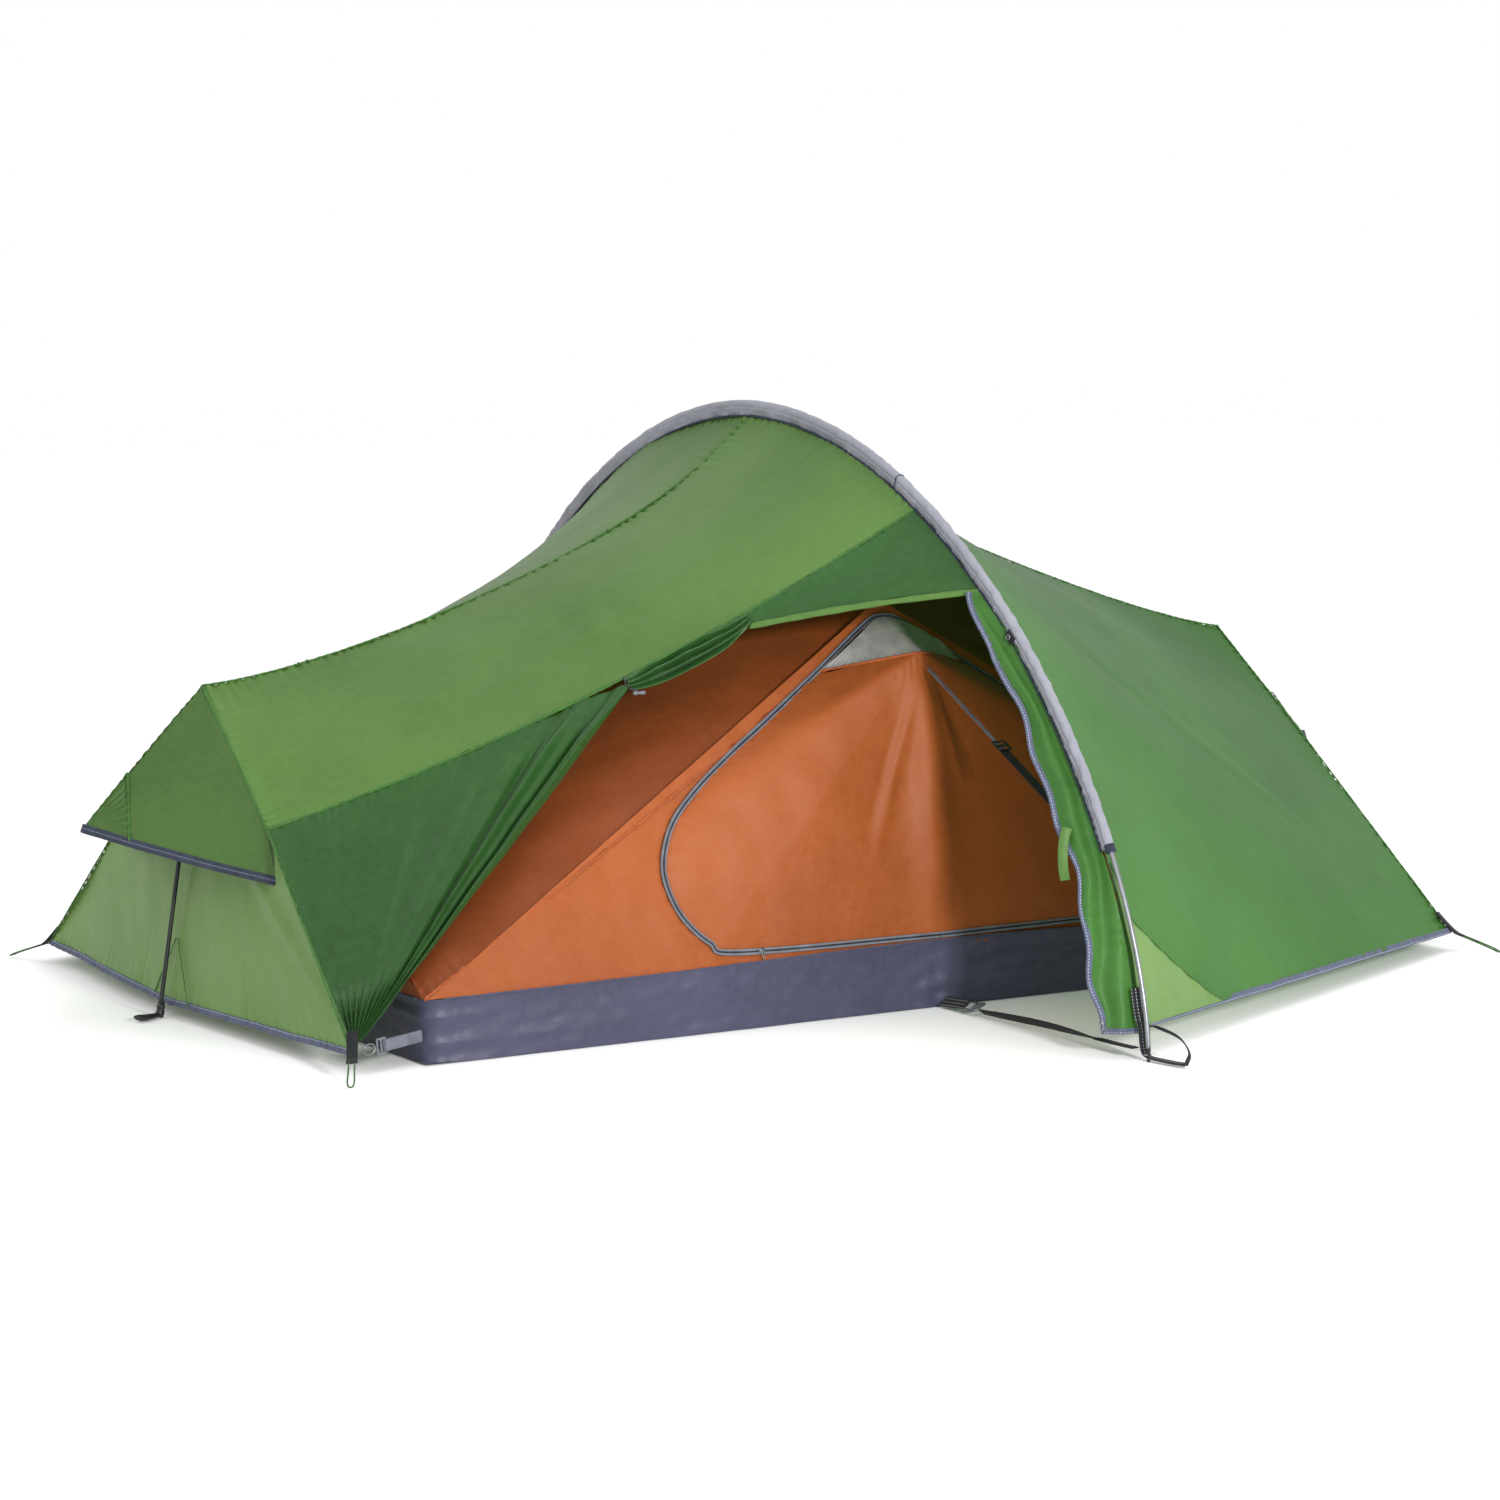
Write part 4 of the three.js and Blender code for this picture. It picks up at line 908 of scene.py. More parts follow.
# ---- inner tent -----------------------------------------------------------------------------------
WALL_RUN = np.array((WALL_FOOT[0] - WALL_TOP[0], WALL_TOP[1] - WALL_FOOT[1]))
WALL_RISE = float(np.linalg.norm(WALL_RUN))
UP_WALL = np.array((0, WALL_RUN[0], WALL_RUN[1])) / WALL_RISE
OUT_OF_WALL = np.array((0, -UP_WALL[2], UP_WALL[1]))


def wall_point(x, up, out=0.0, front=1):
    x, up, out = np.broadcast_arrays(np.asarray(x, float), np.asarray(up, float), np.asarray(out, float))
    point = arr(x, -WALL_FOOT[0] + 0 * x, WALL_FOOT[1] + 0 * x)
    return (point + up[..., None] * UP_WALL + out[..., None] * OUT_OF_WALL) * (1, front, 1)


DOOR_KNOTS = [
    (0, 0.652), (0.040, 0.640), (0.176, 0.546), (0.300, 0.462), (0.398, 0.398), (0.485, 0.334),
    (0.543, 0.276), (0.573, 0.212), (0.574, 0.158), (0.552, 0.100),
    (0.505, 0.050), (0.440, 0.026), (0, 0.020),
]


def door_half(side, grow=0.0, count=150):
    """Half of the door's outline on the wall's plane, from the top round to the middle of its bottom."""
    line = smooth_line([(x, up, 0) for x, up in DOOR_KNOTS], count)
    way = unit(np.gradient(line, axis=0))
    line = line + np.stack([-way[:, 1], way[:, 0], 0 * way[:, 0]], axis=-1) * grow
    line[0, 0] = line[-1, 0] = 0
    return side * line[:, 0], line[:, 1]


def bulge(x, up):
    """How far the door stands out of the wall's plane, drawn out by the tension band at the slit."""
    half_x, half_up = door_half(1)
    centre = SLIT_RISE
    angle = np.arctan2(half_x, half_up - centre)
    reach = np.hypot(half_x, half_up - centre)
    order = np.argsort(angle)
    here = np.interp(np.arctan2(np.abs(x), up - centre), angle[order], reach[order])
    share = np.clip(1 - np.hypot(x, up - centre) / here, 0, 1)
    ridge = 0.020 * np.exp(-((x / 0.045) ** 2))
    ridge = ridge * np.clip((SLIT_RISE - up) / 0.10, 0, 1) * np.clip(up / 0.25, 0, 1)
    return DOOR_BULGE * share + ridge


def add_front_wall():
    x, up = (np.concatenate([a, b[::-1][1:-1]]) for a, b in zip(door_half(1), door_half(-1)))
    centre = (0.0, 0.25)
    rays = np.stack([x - centre[0], up - centre[1]], axis=-1)
    half, top, rise = WALL_HALF_LENGTH, 0.018, 0.676
    slope = (rise / (half - top))
    outer = []
    for dx, dy in rays:
        sides = []
        if dy < 0:
            sides.append(-centre[1] / dy)
        sides.append((slope * (half) - centre[1]) / (dy + slope * abs(dx)) if dy + slope * abs(dx) > 0 else 9)
        outer.append((centre[0] + dx * min(sides), centre[1] + dy * min(sides)))
    outer = np.array(outer)
    for corner in ((-half, 0), (half, 0)):
        outer[np.argmin(np.hypot(*(outer - corner).T))] = corner
    outer[:, 1] = np.minimum(outer[:, 1], rise)
    v = stations(60, 0.5)
    grid_x = x[:, None] + (outer[:, :1] - x[:, None]) * v
    grid_up = up[:, None] + (outer[:, 1:] - up[:, None]) * v
    smooth = wall_point(grid_x, grid_up)
    smooth = np.concatenate([smooth, smooth[:1]])
    lift = 0.0030 * ripple(smooth, 0.22, 111) + 0.0012 * ripple(smooth, 0.07, 112)
    strip = np.clip(lengths(smooth, 1)[:, -1:] / 0.10, 0.15, 1)
    lift += pucker(smooth, "v0", 0.0028, 0.013, 0.018, 113) * strip
    lift += pucker(smooth, "v1", 0.0022, 0.019, 0.024, 114) * strip
    made = grid_object("inner_wall_front", smooth + lift[..., None] * OUT_OF_WALL, ORANGE)
    piece(made, "tent", "inner_front_wall")


def add_door_panel():
    """The door's cloth below the slit, and the vent of netting above it."""
    x, up = door_half(1, -0.004)
    below = up < SLIT_RISE - 0.012
    half = [(float(a), float(b)) for a, b in zip(x[below], up[below])]
    rim = half + [(-a, b) for a, b in half[::-1]]
    rim = np.array(rim)
    rows = len(rim) // 2
    left, right = rim[rows:][::-1], rim[:rows]
    v = np.linspace(0, 1, 150)
    u = np.arange(rows)
    grid = left[:, None] + (right - left)[:, None] * v[None, :, None]
    towards_slit = np.exp(-u[:, None] / 2.0) * (1 - np.abs(2 * v - 1)) ** 0.6
    grid[..., 1] += (SLIT_RISE - 0.004 - grid[..., 1]) * towards_slit
    gx, gup = grid[..., 0], grid[..., 1]
    smooth = wall_point(gx, gup, bulge(gx, gup))
    lift = 0.0035 * ripple(smooth, 0.3, 121) + 0.0012 * ripple(smooth, 0.09, 122)
    for edge in ("v0", "v1", "u1"):
        lift += pucker(smooth, edge, 0.0020, 0.014, 0.018, 123)
    lift += pucker(smooth, "u0", 0.0022, 0.016, 0.02, 124)
    slit = wall_point(0.0, SLIT_RISE, DOOR_BULGE)
    targets = wall_point(-0.25, 0.1, 0.02), wall_point(0.25, 0.1, 0.02)
    lift += fan_of_creases(smooth, slit, targets, 7, 0.012, 0.006, 125, 0.02)
    lift *= np.clip(1.2 - np.exp(-u / 3.0), 0, 1)[:, None] * np.clip(grid[..., 1] / 0.07, 0.15, 1)
    cloth_sheet("inner_door_cloth", smooth, lift, ORANGE, "inner_door",
                body="inner_door_panel", outward=(0, 0, 0.3),
                flat=middle_size(smooth))

    top = up > SLIT_RISE - 0.010
    tx, tup = x[top], up[top]
    v = np.linspace(-1, 1, 90)
    grid_x, grid_up = tx[:, None] * v[None], tup[:, None] + 0 * v[None]
    fade = np.clip((VENT_TOP - grid_up) / (VENT_TOP - SLIT_RISE), 0, 1)
    out = bulge(grid_x, np.minimum(grid_up, SLIT_RISE)) * fade
    smooth = wall_point(grid_x, grid_up, out)
    lift = 0.0022 * ripple(smooth, 0.06, 127) + pucker(smooth, "u1", 0.002, 0.013, 0.02, 128)
    lift += pucker(smooth, "v0", 0.0030, 0.012, 0.022, 129) + pucker(smooth, "v1", 0.0030, 0.012, 0.022, 130)
    made = grid_object("inner_vent_netting", smooth + lift[..., None] * OUT_OF_WALL, NETTING)
    piece(made, "inner_door_panel", "inner_door_vent")
    width, length = middle_size(smooth)
    across = np.linspace(-1, 1, 41)
    vent_line = smooth_line(wall_point(across * 0.172, SLIT_RISE - 0.006 + 0 * across, 0 * across), 100)
    xs = vent_line[:, 0]
    vent_line = wall_point(xs, SLIT_RISE - 0.006 + 0 * xs, bulge(xs, SLIT_RISE - 0.006 + 0 * xs) + 0.001)
    made = seam("vent_seam", vent_line, OUT_OF_WALL, SEAM_ORANGE, 0.006, 0.002, 131)
    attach(made, "inner_door_panel")


def add_zip():
    """The zip round the door: one tape on the wall, one on the door, and the coil between them."""
    for grow, name, body in ((0.0034, "wall", "tent"), (-0.0034, "door", "inner_door_panel")):
        halves = zip(door_half(-1, grow, 200), door_half(1, grow, 200))
        x, up = (np.concatenate([a[::-1], b[1:]]) for a, b in halves)
        line = wall_point(x, up, 0.0052)
        tape(f"zip_tape_{name}", line, OUT_OF_WALL, 0.0050, 0.0022, ZIP_TAPE, body, wave=0.0005, seed=133)
    x, up = (np.concatenate([a[::-1], b[1:]]) for a, b in zip(door_half(-1, 0, 200), door_half(1, 0, 200)))
    coil = swept("zip_coil", wall_point(x, up, 0.0052), round_section(0.0021, 8), OUT_OF_WALL, ZIP_COIL)
    piece(coil, "tent")


def add_slider(name, node, place, along, outward, pull_way, pull, paint):
    """A zip slider: a waisted body over the coil, a bridge on it, and a flat pull with a hole."""
    along, outward = unit(np.array(along, float)), unit(np.array(outward, float))
    place = np.array(place, float)
    run = np.linspace(-0.0055, 0.0055, 14)
    body_line = place + along * run[:, None]
    width = 0.0042 + 0.0012 * np.cos(run / 0.0055 * np.pi)
    section = np.array(flat_section(2.0, 0.0048))[None] * np.stack([width, np.ones(14)], axis=-1)[:, None]
    piece(swept(f"{name}_body", body_line, section, outward, paint), node, node)
    arc = np.linspace(0, np.pi, 12)
    bridge = place + outward * 0.0022
    bridge = bridge + np.outer(np.cos(arc), along) * 0.0038 + np.outer(np.sin(arc), outward) * 0.0024
    piece(swept(f"{name}_bridge", bridge, flat_section(0.0024, 0.0011), outward + along * 0.01, paint), node)
    down = unit(np.array(pull_way, float))
    turn = np.linspace(0, 2 * np.pi, 29)
    across = unit(np.cross(down, outward))
    start = place + outward * 0.0046
    ring = start + down * (pull / 2) + np.outer(np.cos(turn), down) * pull / 2
    ring = ring + np.outer(np.sin(turn), across) * 0.0026
    piece(swept(f"{name}_pull", ring, flat_section(0.0016, 0.0013), outward, paint, caps=False), node)


def add_zip_sliders():
    hem = flap_point(np.array(0.975), np.array(1.0))
    add_slider("slider_door", "door_zip_slider", hem + (-0.005, -0.004, 0), (0.03, 0.21, 0.98),
               (-0.6, -0.8, 0.1), (-0.1, -0.1, -1), 0.016, GREY_METAL)
    add_slider("slider_inner", "inner_zip_slider", wall_point(-0.400, 0.026, 0.0056), (1, 0, 0),
               OUT_OF_WALL, (0.1, -0.2, -1), 0.017, GREY_METAL)


def add_back_wall():
    half = WALL_HALF_LENGTH

    def triangle(u, v):
        up = v * (WALL_RISE - 0.002)
        return wall_point((2 * u - 1) * half * (1 - v * 0.985), up, 0, -1)

    smooth = surface(triangle, 150, 80)
    lift = 0.003 * ripple(smooth, 0.3, 141)
    lift += sum(pucker(smooth, e, 0.002, 0.02, 0.02, 142) for e in ("u0", "u1", "v0"))
    cloth_sheet("inner_wall_back", smooth, lift, ORANGE, "inner_back_wall")


def inner_roof(side, front):
    wall_top = np.array((0, -WALL_TOP[0] + 0.004, WALL_TOP[1] + 0.012))
    corner, end = flipped(INNER_CORNER, side, -1), flipped(INNER_END, side, 1)

    def arch(v):
        v = np.asarray(v, float)
        p = mix(INNER_TOP, wall_top, v)
        p[..., 2] += 0.095 * v * (1 - v)
        return p

    def ridge(u):
        u = np.asarray(u, float)
        p = mix(INNER_TOP, end, u)
        p[..., 2] -= 0.165 * u * np.clip(1 - u, 0, 1) ** 1.4
        return p

    whole = patch(arch, lambda v: mix(end, corner, v), ridge, lambda u: mix(wall_top, corner, u))
    return lambda u, v: whole(u, v) * (1, front, 1)


def add_inner_roof_and_ends():
    for side, end in ((-1, "left"), (1, "right")):
        for front, half in ((1, "front"), (-1, "back")):
            smooth = surface(inner_roof(side, front), 110, 90)
            seed = 151 + 3 * side + front
            lift = 0.005 * ripple(smooth, 0.3, seed) + 0.0028 * ripple(smooth, 0.11, seed + 1)
            lift += pucker(smooth, "v1", 0.0048, 0.02, 0.032, seed)
            lift += pucker(smooth, "u1", 0.002, 0.02, 0.02, seed)
            node = f"inner_roof_{end}_{half}"
            # The inner roof panels take the darker orange, a painted shade.
            cloth_sheet(f"cloth_{node}", smooth, lift, ORANGE_PAINTED_SHADE, node)
            line = line_of(lambda u: inner_roof(side, front)(u, np.ones_like(u)), 160)
            seam(f"seam_{node}", line, (0, -front * 0.7, 0.5), SEAM_ORANGE, 0.007, 0.0025, seed)
        top = flipped(INNER_END, side, 1)

        def wedge(u, v):
            low = mix(flipped(INNER_CORNER, side, -1), flipped(INNER_CORNER, side, 1), u)
            return mix(top, low, v * 0.998 + 0.002)

        smooth = surface(wedge, 100, 60, (0.3, 0.3))
        lift = 0.004 * ripple(smooth, 0.25, 161 + side)
        cloth_sheet(f"cloth_inner_end_{end}", smooth, lift, ORANGE, f"inner_end_{end}",
                    outward=(0, 0, 0.3))


def add_tub():
    """The bathtub floor: soft coated walls that crumple at the corners, and its turned-up floor."""
    radius = 0.035
    length, width = FLOOR_HALF_LENGTH, FLOOR_HALF_WIDTH
    turn = np.linspace(0, np.pi / 2, 14)
    rim = []
    for k, (sx, sy) in enumerate(((1, -1), (1, 1), (-1, 1), (-1, -1))):
        start = -np.pi / 2 + k * np.pi / 2
        middle = sx * (length - radius), sy * (width - radius)
        round_corner = [(math.cos(start + a), math.sin(start + a)) for a in turn]
        rim += [(middle[0] + radius * x, middle[1] + radius * y) for x, y in round_corner]
    rim = np.array(rim + rim[:1])
    run = np.concatenate([[0], np.cumsum(np.linalg.norm(np.diff(rim, axis=0), axis=-1))])
    even = np.linspace(0, run[-1], 900)
    rim = np.stack([np.interp(even, run, rim[:, i]) for i in range(2)], axis=-1)
    v = np.linspace(0, 1, 36)
    way = unit(rim * (1 / length, 1 / width))
    lean = 0.004 * np.sin(np.pi * v)
    x = rim[:, :1] + 0 * v
    rise = 0.013 * np.exp(-((x / 0.55) ** 2)) * (np.abs(rim[:, 1:]) > 0.6)
    z = 0.0015 + (TUB_HEIGHT + 0.001 + rise) * v + 0 * x
    smooth = arr(x, rim[:, 1:] + 0 * v, z)
    out = arr(way[:, :1] + 0 * v, way[:, 1:] + 0 * v, 0 * z)
    near_corner = np.exp(-((length - np.abs(smooth[..., 0])) / 0.12))
    near_corner = near_corner * np.exp(-((width - np.abs(smooth[..., 1])) / 0.12))
    lift = lean - 0.004 + 0.0035 * ripple(smooth * (1, 1, 2.2), 0.16, 171)
    lift += 0.0016 * ripple(smooth * (1, 1, 2), 0.06, 172)
    sag = np.sin(smooth[..., 0] * 7.3 + 1.2 * np.sin(3.1 * smooth[..., 0]))
    lift += 0.005 * sag * np.sin(np.pi * v) - 0.003
    lift = lift * np.sin(np.pi * np.clip(v * 0.86 + 0.10, 0, 1)) ** 0.5
    lift += pucker(smooth, "v1", 0.0026, 0.018, 0.02, 173)
    lift += -0.008 * near_corner * np.abs(np.sin(np.pi * (v * 2.5 + 0.2)))
    lift += 0.004 * v**6
    middle = np.exp(-((smooth[..., 0] / 0.05) ** 2)) * (1 - v)
    lift += 0.0022 * middle * np.sin(smooth[..., 0] / 0.008)
    made = grid_object("tub_walls", smooth + out * np.clip(lift, -0.02, 0.006)[..., None], TUB)
    piece(made, "tent", "groundsheet")

    def floor(u, v):
        return arr((2 * u - 1) * (length - 0.004), (2 * v - 1) * (width - 0.004), 0.0018 + 0 * u)

    smooth = surface(floor, 90, 60)
    lift = 0.0012 + 0.0012 * ripple(smooth, 0.2, 175)
    floor_sheet = grid_object("tub_floor", smooth + arr(0 * lift, 0 * lift, np.clip(lift, 0, 1)), TUB)
    piece(floor_sheet)
    for front, name in ((1, "front"), (-1, "back")):
        xs = np.linspace(-1.06, 1.06, 260)
        swell = 0.013 * np.exp(-((xs / 0.55) ** 2))
        line = arr(xs, -front * (FLOOR_HALF_WIDTH + 0.0005), TUB_HEIGHT + 0.003 + swell)
        seam(f"seam_tub_{name}", line, (0, -front, 0.2), SEAM_GREY, 0.004, 0.0016, 177)
    for side, name in ((-1, "left"), (1, "right")):
        line = arr(side * (FLOOR_HALF_LENGTH - 0.003), np.linspace(-0.68, 0.68, 160), TUB_HEIGHT + 0.003)
        seam(f"seam_tub_{name}", line, (side, 0, 0.2), SEAM_GREY, 0.004, 0.0016, 178)


add_front_wall()
add_door_panel()
add_zip()
add_zip_sliders()
add_back_wall()
add_inner_roof_and_ends()
add_tub()


# ---- arch sleeve and poles ------------------------------------------------------------------------
def add_sleeve():
    end = angle_at_height(SLEEVE_END_HEIGHT, POLE_INSET)
    angles = np.linspace(end, math.pi - end, 520)
    round_part = POLE_INSET - 0.0088 * np.cos(np.linspace(2.6, 0, 10))
    insets = np.concatenate([np.linspace(SLEEVE_WIDTH, 0.018, 8), round_part])
    insets = np.clip(insets, 0.0012, SLEEVE_WIDTH)
    half = np.where(insets > 0.0165, 0.0026 + 0.0062 * np.clip((SLEEVE_WIDTH - insets) / 0.014, 0, 1) ** 0.8,
                    0.0088 * np.sqrt(np.clip(1 - ((insets - 0.0100) / 0.0092) ** 2, 0, 1)) + 0.0002)
    around_inset = np.concatenate([insets, insets[::-1][1:]])
    around_x = np.concatenate([-half, half[::-1][1:]])
    aside = arr(0 * angles[:, None] + around_x, 0, 0)
    smooth = arch_point(angles[:, None], around_inset[None]) + aside
    outward = unit(aside + 1e-6)
    wrinkle = 0.0016 * ripple(smooth * (3, 1, 1), 0.045, 181) + 0.0011 * ripple(smooth, 0.018, 182)
    seam_pull = pucker(smooth, "v0", 0.0018, 0.016, 0.014, 183)
    seam_pull += pucker(smooth, "v1", 0.0018, 0.016, 0.014, 184)
    made = grid_object("sleeve_cloth", smooth + outward * (wrinkle + seam_pull)[..., None], SLEEVE)
    piece(made, "tent", "arch_sleeve")
    for x, name in ((-0.0042, "left"), (0.0042, "right")):
        line = arch_point(angles, SLEEVE_WIDTH + 0.0015) + (x, 0, 0)
        pipe = swept(f"sleeve_piping_{name}", line, round_section(0.0021, 8), (1, 0, 0), PIPING)
        piece(pipe, "tent")
    for angle, name in ((end, "front"), (math.pi - end, "back")):
        ring = arch_point(np.linspace(angle - 0.006, angle + 0.006, 5), POLE_INSET)
        piece(swept(f"sleeve_cuff_{name}", ring, round_section(0.0096, 20), (1, 0, 0), PIPING))
    at = SEAM_ANGLE + 0.056
    outline = smooth[np.argmin(np.abs(angles - at))]
    grown = outline + unit(outline - outline.mean(axis=0)) * 0.0012
    closed = np.concatenate([grown, grown[:1]])
    piece(swept("sleeve_cross_seam", closed, round_section(0.0009, 8), (0, 0.7, 0.7), PIPING))


def add_bare_pole_ends():
    """The arch's lowest sections show below the sleeve, as one bright tube down to the tip."""
    foot = angle_at_height(TIP_TOP, POLE_INSET)
    for k, front in ((1, 1), (7, -1)):
        top = angle_at_height(SLEEVE_END_HEIGHT + 0.05, POLE_INSET)
        line = arch_point(np.linspace(foot, top, 60), POLE_INSET) * (1, front, 1)
        tube = swept(f"bare_pole_{k}", line, round_section(POLE_RADIUS + 0.0003, 24), (1, 0, 0), ALLOY)
        piece(tube, "tent")


add_sleeve()
add_bare_pole_ends()


# ---- bands, straps, loops -------------------------------------------------------------------------
def band_point(front, share):
    share = np.asarray(share, float)
    y = BAND_TOP[0] + share * (BAND_ANCHOR[0] - BAND_TOP[0])
    z = BAND_TOP[1] + share * (BAND_ANCHOR[1] - BAND_TOP[1])
    return arr(0 * share, -front * y, z)


def add_corner(side, sy, end, half):
    """The pegging loop at a corner, with its webbing tab."""
    corner = flipped(CORNER, side, sy)
    out = np.array((side * 0.45, sy * 0.89, 0))
    across = np.array((-out[1], out[0], 0))
    route = [(0.010, 0.005, 0.038), (0.062, 0.0055, 0.022), (0.092, 0.006, 0.012), (0.106, 0.0045, 0.0065),
             (0.111, 0, 0.005), (0.106, -0.0045, 0.0065), (0.092, -0.006, 0.012), (0.062, -0.0055, 0.022),
             (0.010, -0.005, 0.038)]
    knots = [(corner + out * far + across * aside) * (1, 1, 0) + (0, 0, z) for far, aside, z in route]
    line = smooth_line(knots, 40)
    curve = bpy.data.curves.new(f"corner_cord_{end}_{half}", "CURVE")
    curve.dimensions = "3D"
    spline = curve.splines.new("POLY")
    spline.points.add(len(line) - 1)
    for point, place in zip(spline.points, line):
        point.co = (*place, 1)
    curve.bevel_depth = CORD_DIAMETER / 2
    curve.bevel_resolution = 3
    curve.materials.append(CORD_GREEN)
    cord = bpy.data.objects.new(f"corner_cord_{end}_{half}", curve)
    bpy.context.scene.collection.objects.link(cord)
    piece(cord, "tent", f"corner_loop_{end}_{half}")
    tab = [corner - out * 0.030 + (0, 0, 0.035), corner - out * 0.004 + (0, 0, 0.010),
           corner + out * 0.014 + (0, 0, -0.004), corner + out * 0.030 + (0, 0, -0.010)]
    hint = side * 0.3, sy * 0.4, 0.8
    tape(f"corner_tab_{end}_{half}", smooth_line(tab, 24), hint, 0.020, 0.0032, WEB_BLACK)


for side_now, end_now in ((-1, "left"), (1, "right")):
    for sy_now, half_now in ((-1, "front"), (1, "back")):
        add_corner(side_now, sy_now, end_now, half_now)


def add_floor_strap(front, name):
    """The strap along the ground: flat at its buckle, then twisted on edge most of the way out."""
    count = 120
    t = np.linspace(0, 1, count)
    y = 0.850 + 0.492 * t
    z = 0.0115 + 0.0020 * np.sin(np.pi * t) ** 2 + 0.010 * t
    x = 0.006 * np.sin(5.2 * t) - 0.002
    line = arr(x, -front * y, z)
    turn = math.radians(58) * np.clip(np.sin(np.pi * np.clip(t * 1.15 + 0.12, 0, 1)), 0, 1) ** 0.5
    flat = np.array(flat_section(0.0175, 0.0024))
    c, s = np.cos(turn)[:, None], np.sin(turn)[:, None]
    x, y = flat[None, :, 0], flat[None, :, 1]
    section = np.stack([x * c - y * s, x * s + y * c], axis=-1)
    made = swept(f"floor_strap_cloth_{name}", line, section, (0, 0, 1), WEB_BLACK)
    piece(made, "tent", f"floor_strap_{name}")
    pad = arr(0 * t[:30], -front * np.linspace(0.720, 0.799, 30), np.linspace(0.0085, 0.0140, 30))
    tape(f"floor_tab_{name}", pad + (0, 0, 0.004), (-0.55, 0, 0.83), 0.028, 0.003, WEB_STITCHED)


def add_floor_buckle(front, name):
    """A steel ladder-lock bent up at its free end, and the ring that its tab is sewn round."""
    body = f"floor_buckle_{name}"
    lean = 0.45

    def frame_ring(ring_name, half_wide, near, far, height, tilt):
        turn = np.linspace(0, 2 * np.pi, 49)

        def square(a):
            return np.sign(a) * np.abs(a) ** 0.45

        x = half_wide * square(np.cos(turn))
        y = (near + far) / 2 + (far - near) / 2 * square(np.sin(turn))
        ring = arr(x, -front * y, height + tilt * (y - near) + lean * (x + half_wide))
        made = swept(ring_name, ring, round_section(0.0021, 10), (0, 0, 1), GREY_METAL, caps=False)
        return piece(made, body)

    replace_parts(frame_ring(f"buckle_frame_{name}", 0.0135, 0.817, 0.843, 0.0085, 0.16), body)
    frame_ring(f"buckle_ring_{name}", 0.0115, 0.797, 0.821, 0.0105, 0.10)
    for y in (0.826, 0.834):
        xs = np.linspace(-0.0135, 0.0135, 12)
        bar = arr(xs, -front * y, 0.0095 + 0.16 * (y - 0.817) + lean * (xs + 0.0135))
        bar_name = f"buckle_bar_{name}_{int(y * 1000)}"
        made = swept(bar_name, bar, round_section(0.0017, 10), (0, 0, 1), GREY_METAL)
        piece(made, body)


def add_arch_patch(side, front, name):
    """The lighter reinforcing patch at the arch's foot, sewn over the side panel."""
    corner_u, kink_u, kink_v, top_v = 0.235, 0.022, 0.865, 0.80
    whole = quarter(side, front)

    def local(a, b):
        u = corner_u * a
        edge = np.interp(u, [0, kink_u, corner_u], [top_v, kink_v, 1.0])
        return whole(u, edge + (1 - edge) * b)

    smooth = surface(local, 70, 50, (0.0, 0.0))
    out = normals(smooth) * 0.0050
    lift = 0.0010 * ripple(smooth, 0.05, 201) + 0.0006
    made = grid_object(f"fly_patch_{name}", smooth + out + normals(smooth) * lift[..., None], LIGHT_GREEN)
    piece(made)
    seam(f"seam_patch_{name}", (smooth + out * 1.3)[:, 0], out[20, 10], SEAM_GREEN, 0.004, 0.0012, 203)


def add_guy_point(front, name):
    """A dark webbing tab with a small steel eyelet, sewn into the sleeve's seam."""
    angle = angle_at_height(0.722, SLEEVE_WIDTH)
    place = arch_point(angle, 0.024) * (1, front, 1)
    along = unit(arch_point(angle + 0.01, SLEEVE_WIDTH) - arch_point(angle, SLEEVE_WIDTH)) * (1, front, 1)
    steps = np.linspace(-0.013, 0.013, 14)
    line = place + np.outer(steps, along) + arr(-0.007 - 0.004 * np.cos(steps * 60), 0 * steps, 0 * steps)
    tape(f"guy_tab_{name}", line, (-1, 0, 0), 0.017, 0.0026, WEB_BLACK)
    turn = np.linspace(0, 2 * np.pi, 25)
    side_way = np.cross(along, (1, 0, 0))
    ring = place + np.array((-0.0145, 0, 0)) + np.outer(np.cos(turn), along) * 0.0048
    ring = ring + np.outer(np.sin(turn), side_way) * 0.0048
    piece(swept(f"guy_eyelet_{name}", ring, round_section(0.0015, 8), (1, 0, 0), GREY_METAL, caps=False))


def add_tension_band(front, name):
    """The band that draws the wall out: a thin length at the slit, wide webbing below its adjuster."""
    hint = (0, -front * 0.47, 0.88)
    wide = band_point(front, np.linspace(ADJUSTER_AT, 1, 60))
    thin = band_point(front, np.linspace(0, ADJUSTER_AT, 50))
    made = tape(f"band_wide_{name}", wide, hint, 0.021, 0.0018, WEB_BLACK, wave=0.0006, seed=211)
    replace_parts(made, f"tension_band_{name}")
    tape(f"band_thin_{name}", thin + (-0.0025, 0, 0), hint, 0.0036, 0.0022, WEB_GREY, wave=0.0006, seed=212)
    tape(f"band_twin_{name}", thin + (0.0025, 0, 0), hint, 0.0030, 0.0020, WEB_GREY, wave=0.0006, seed=213)


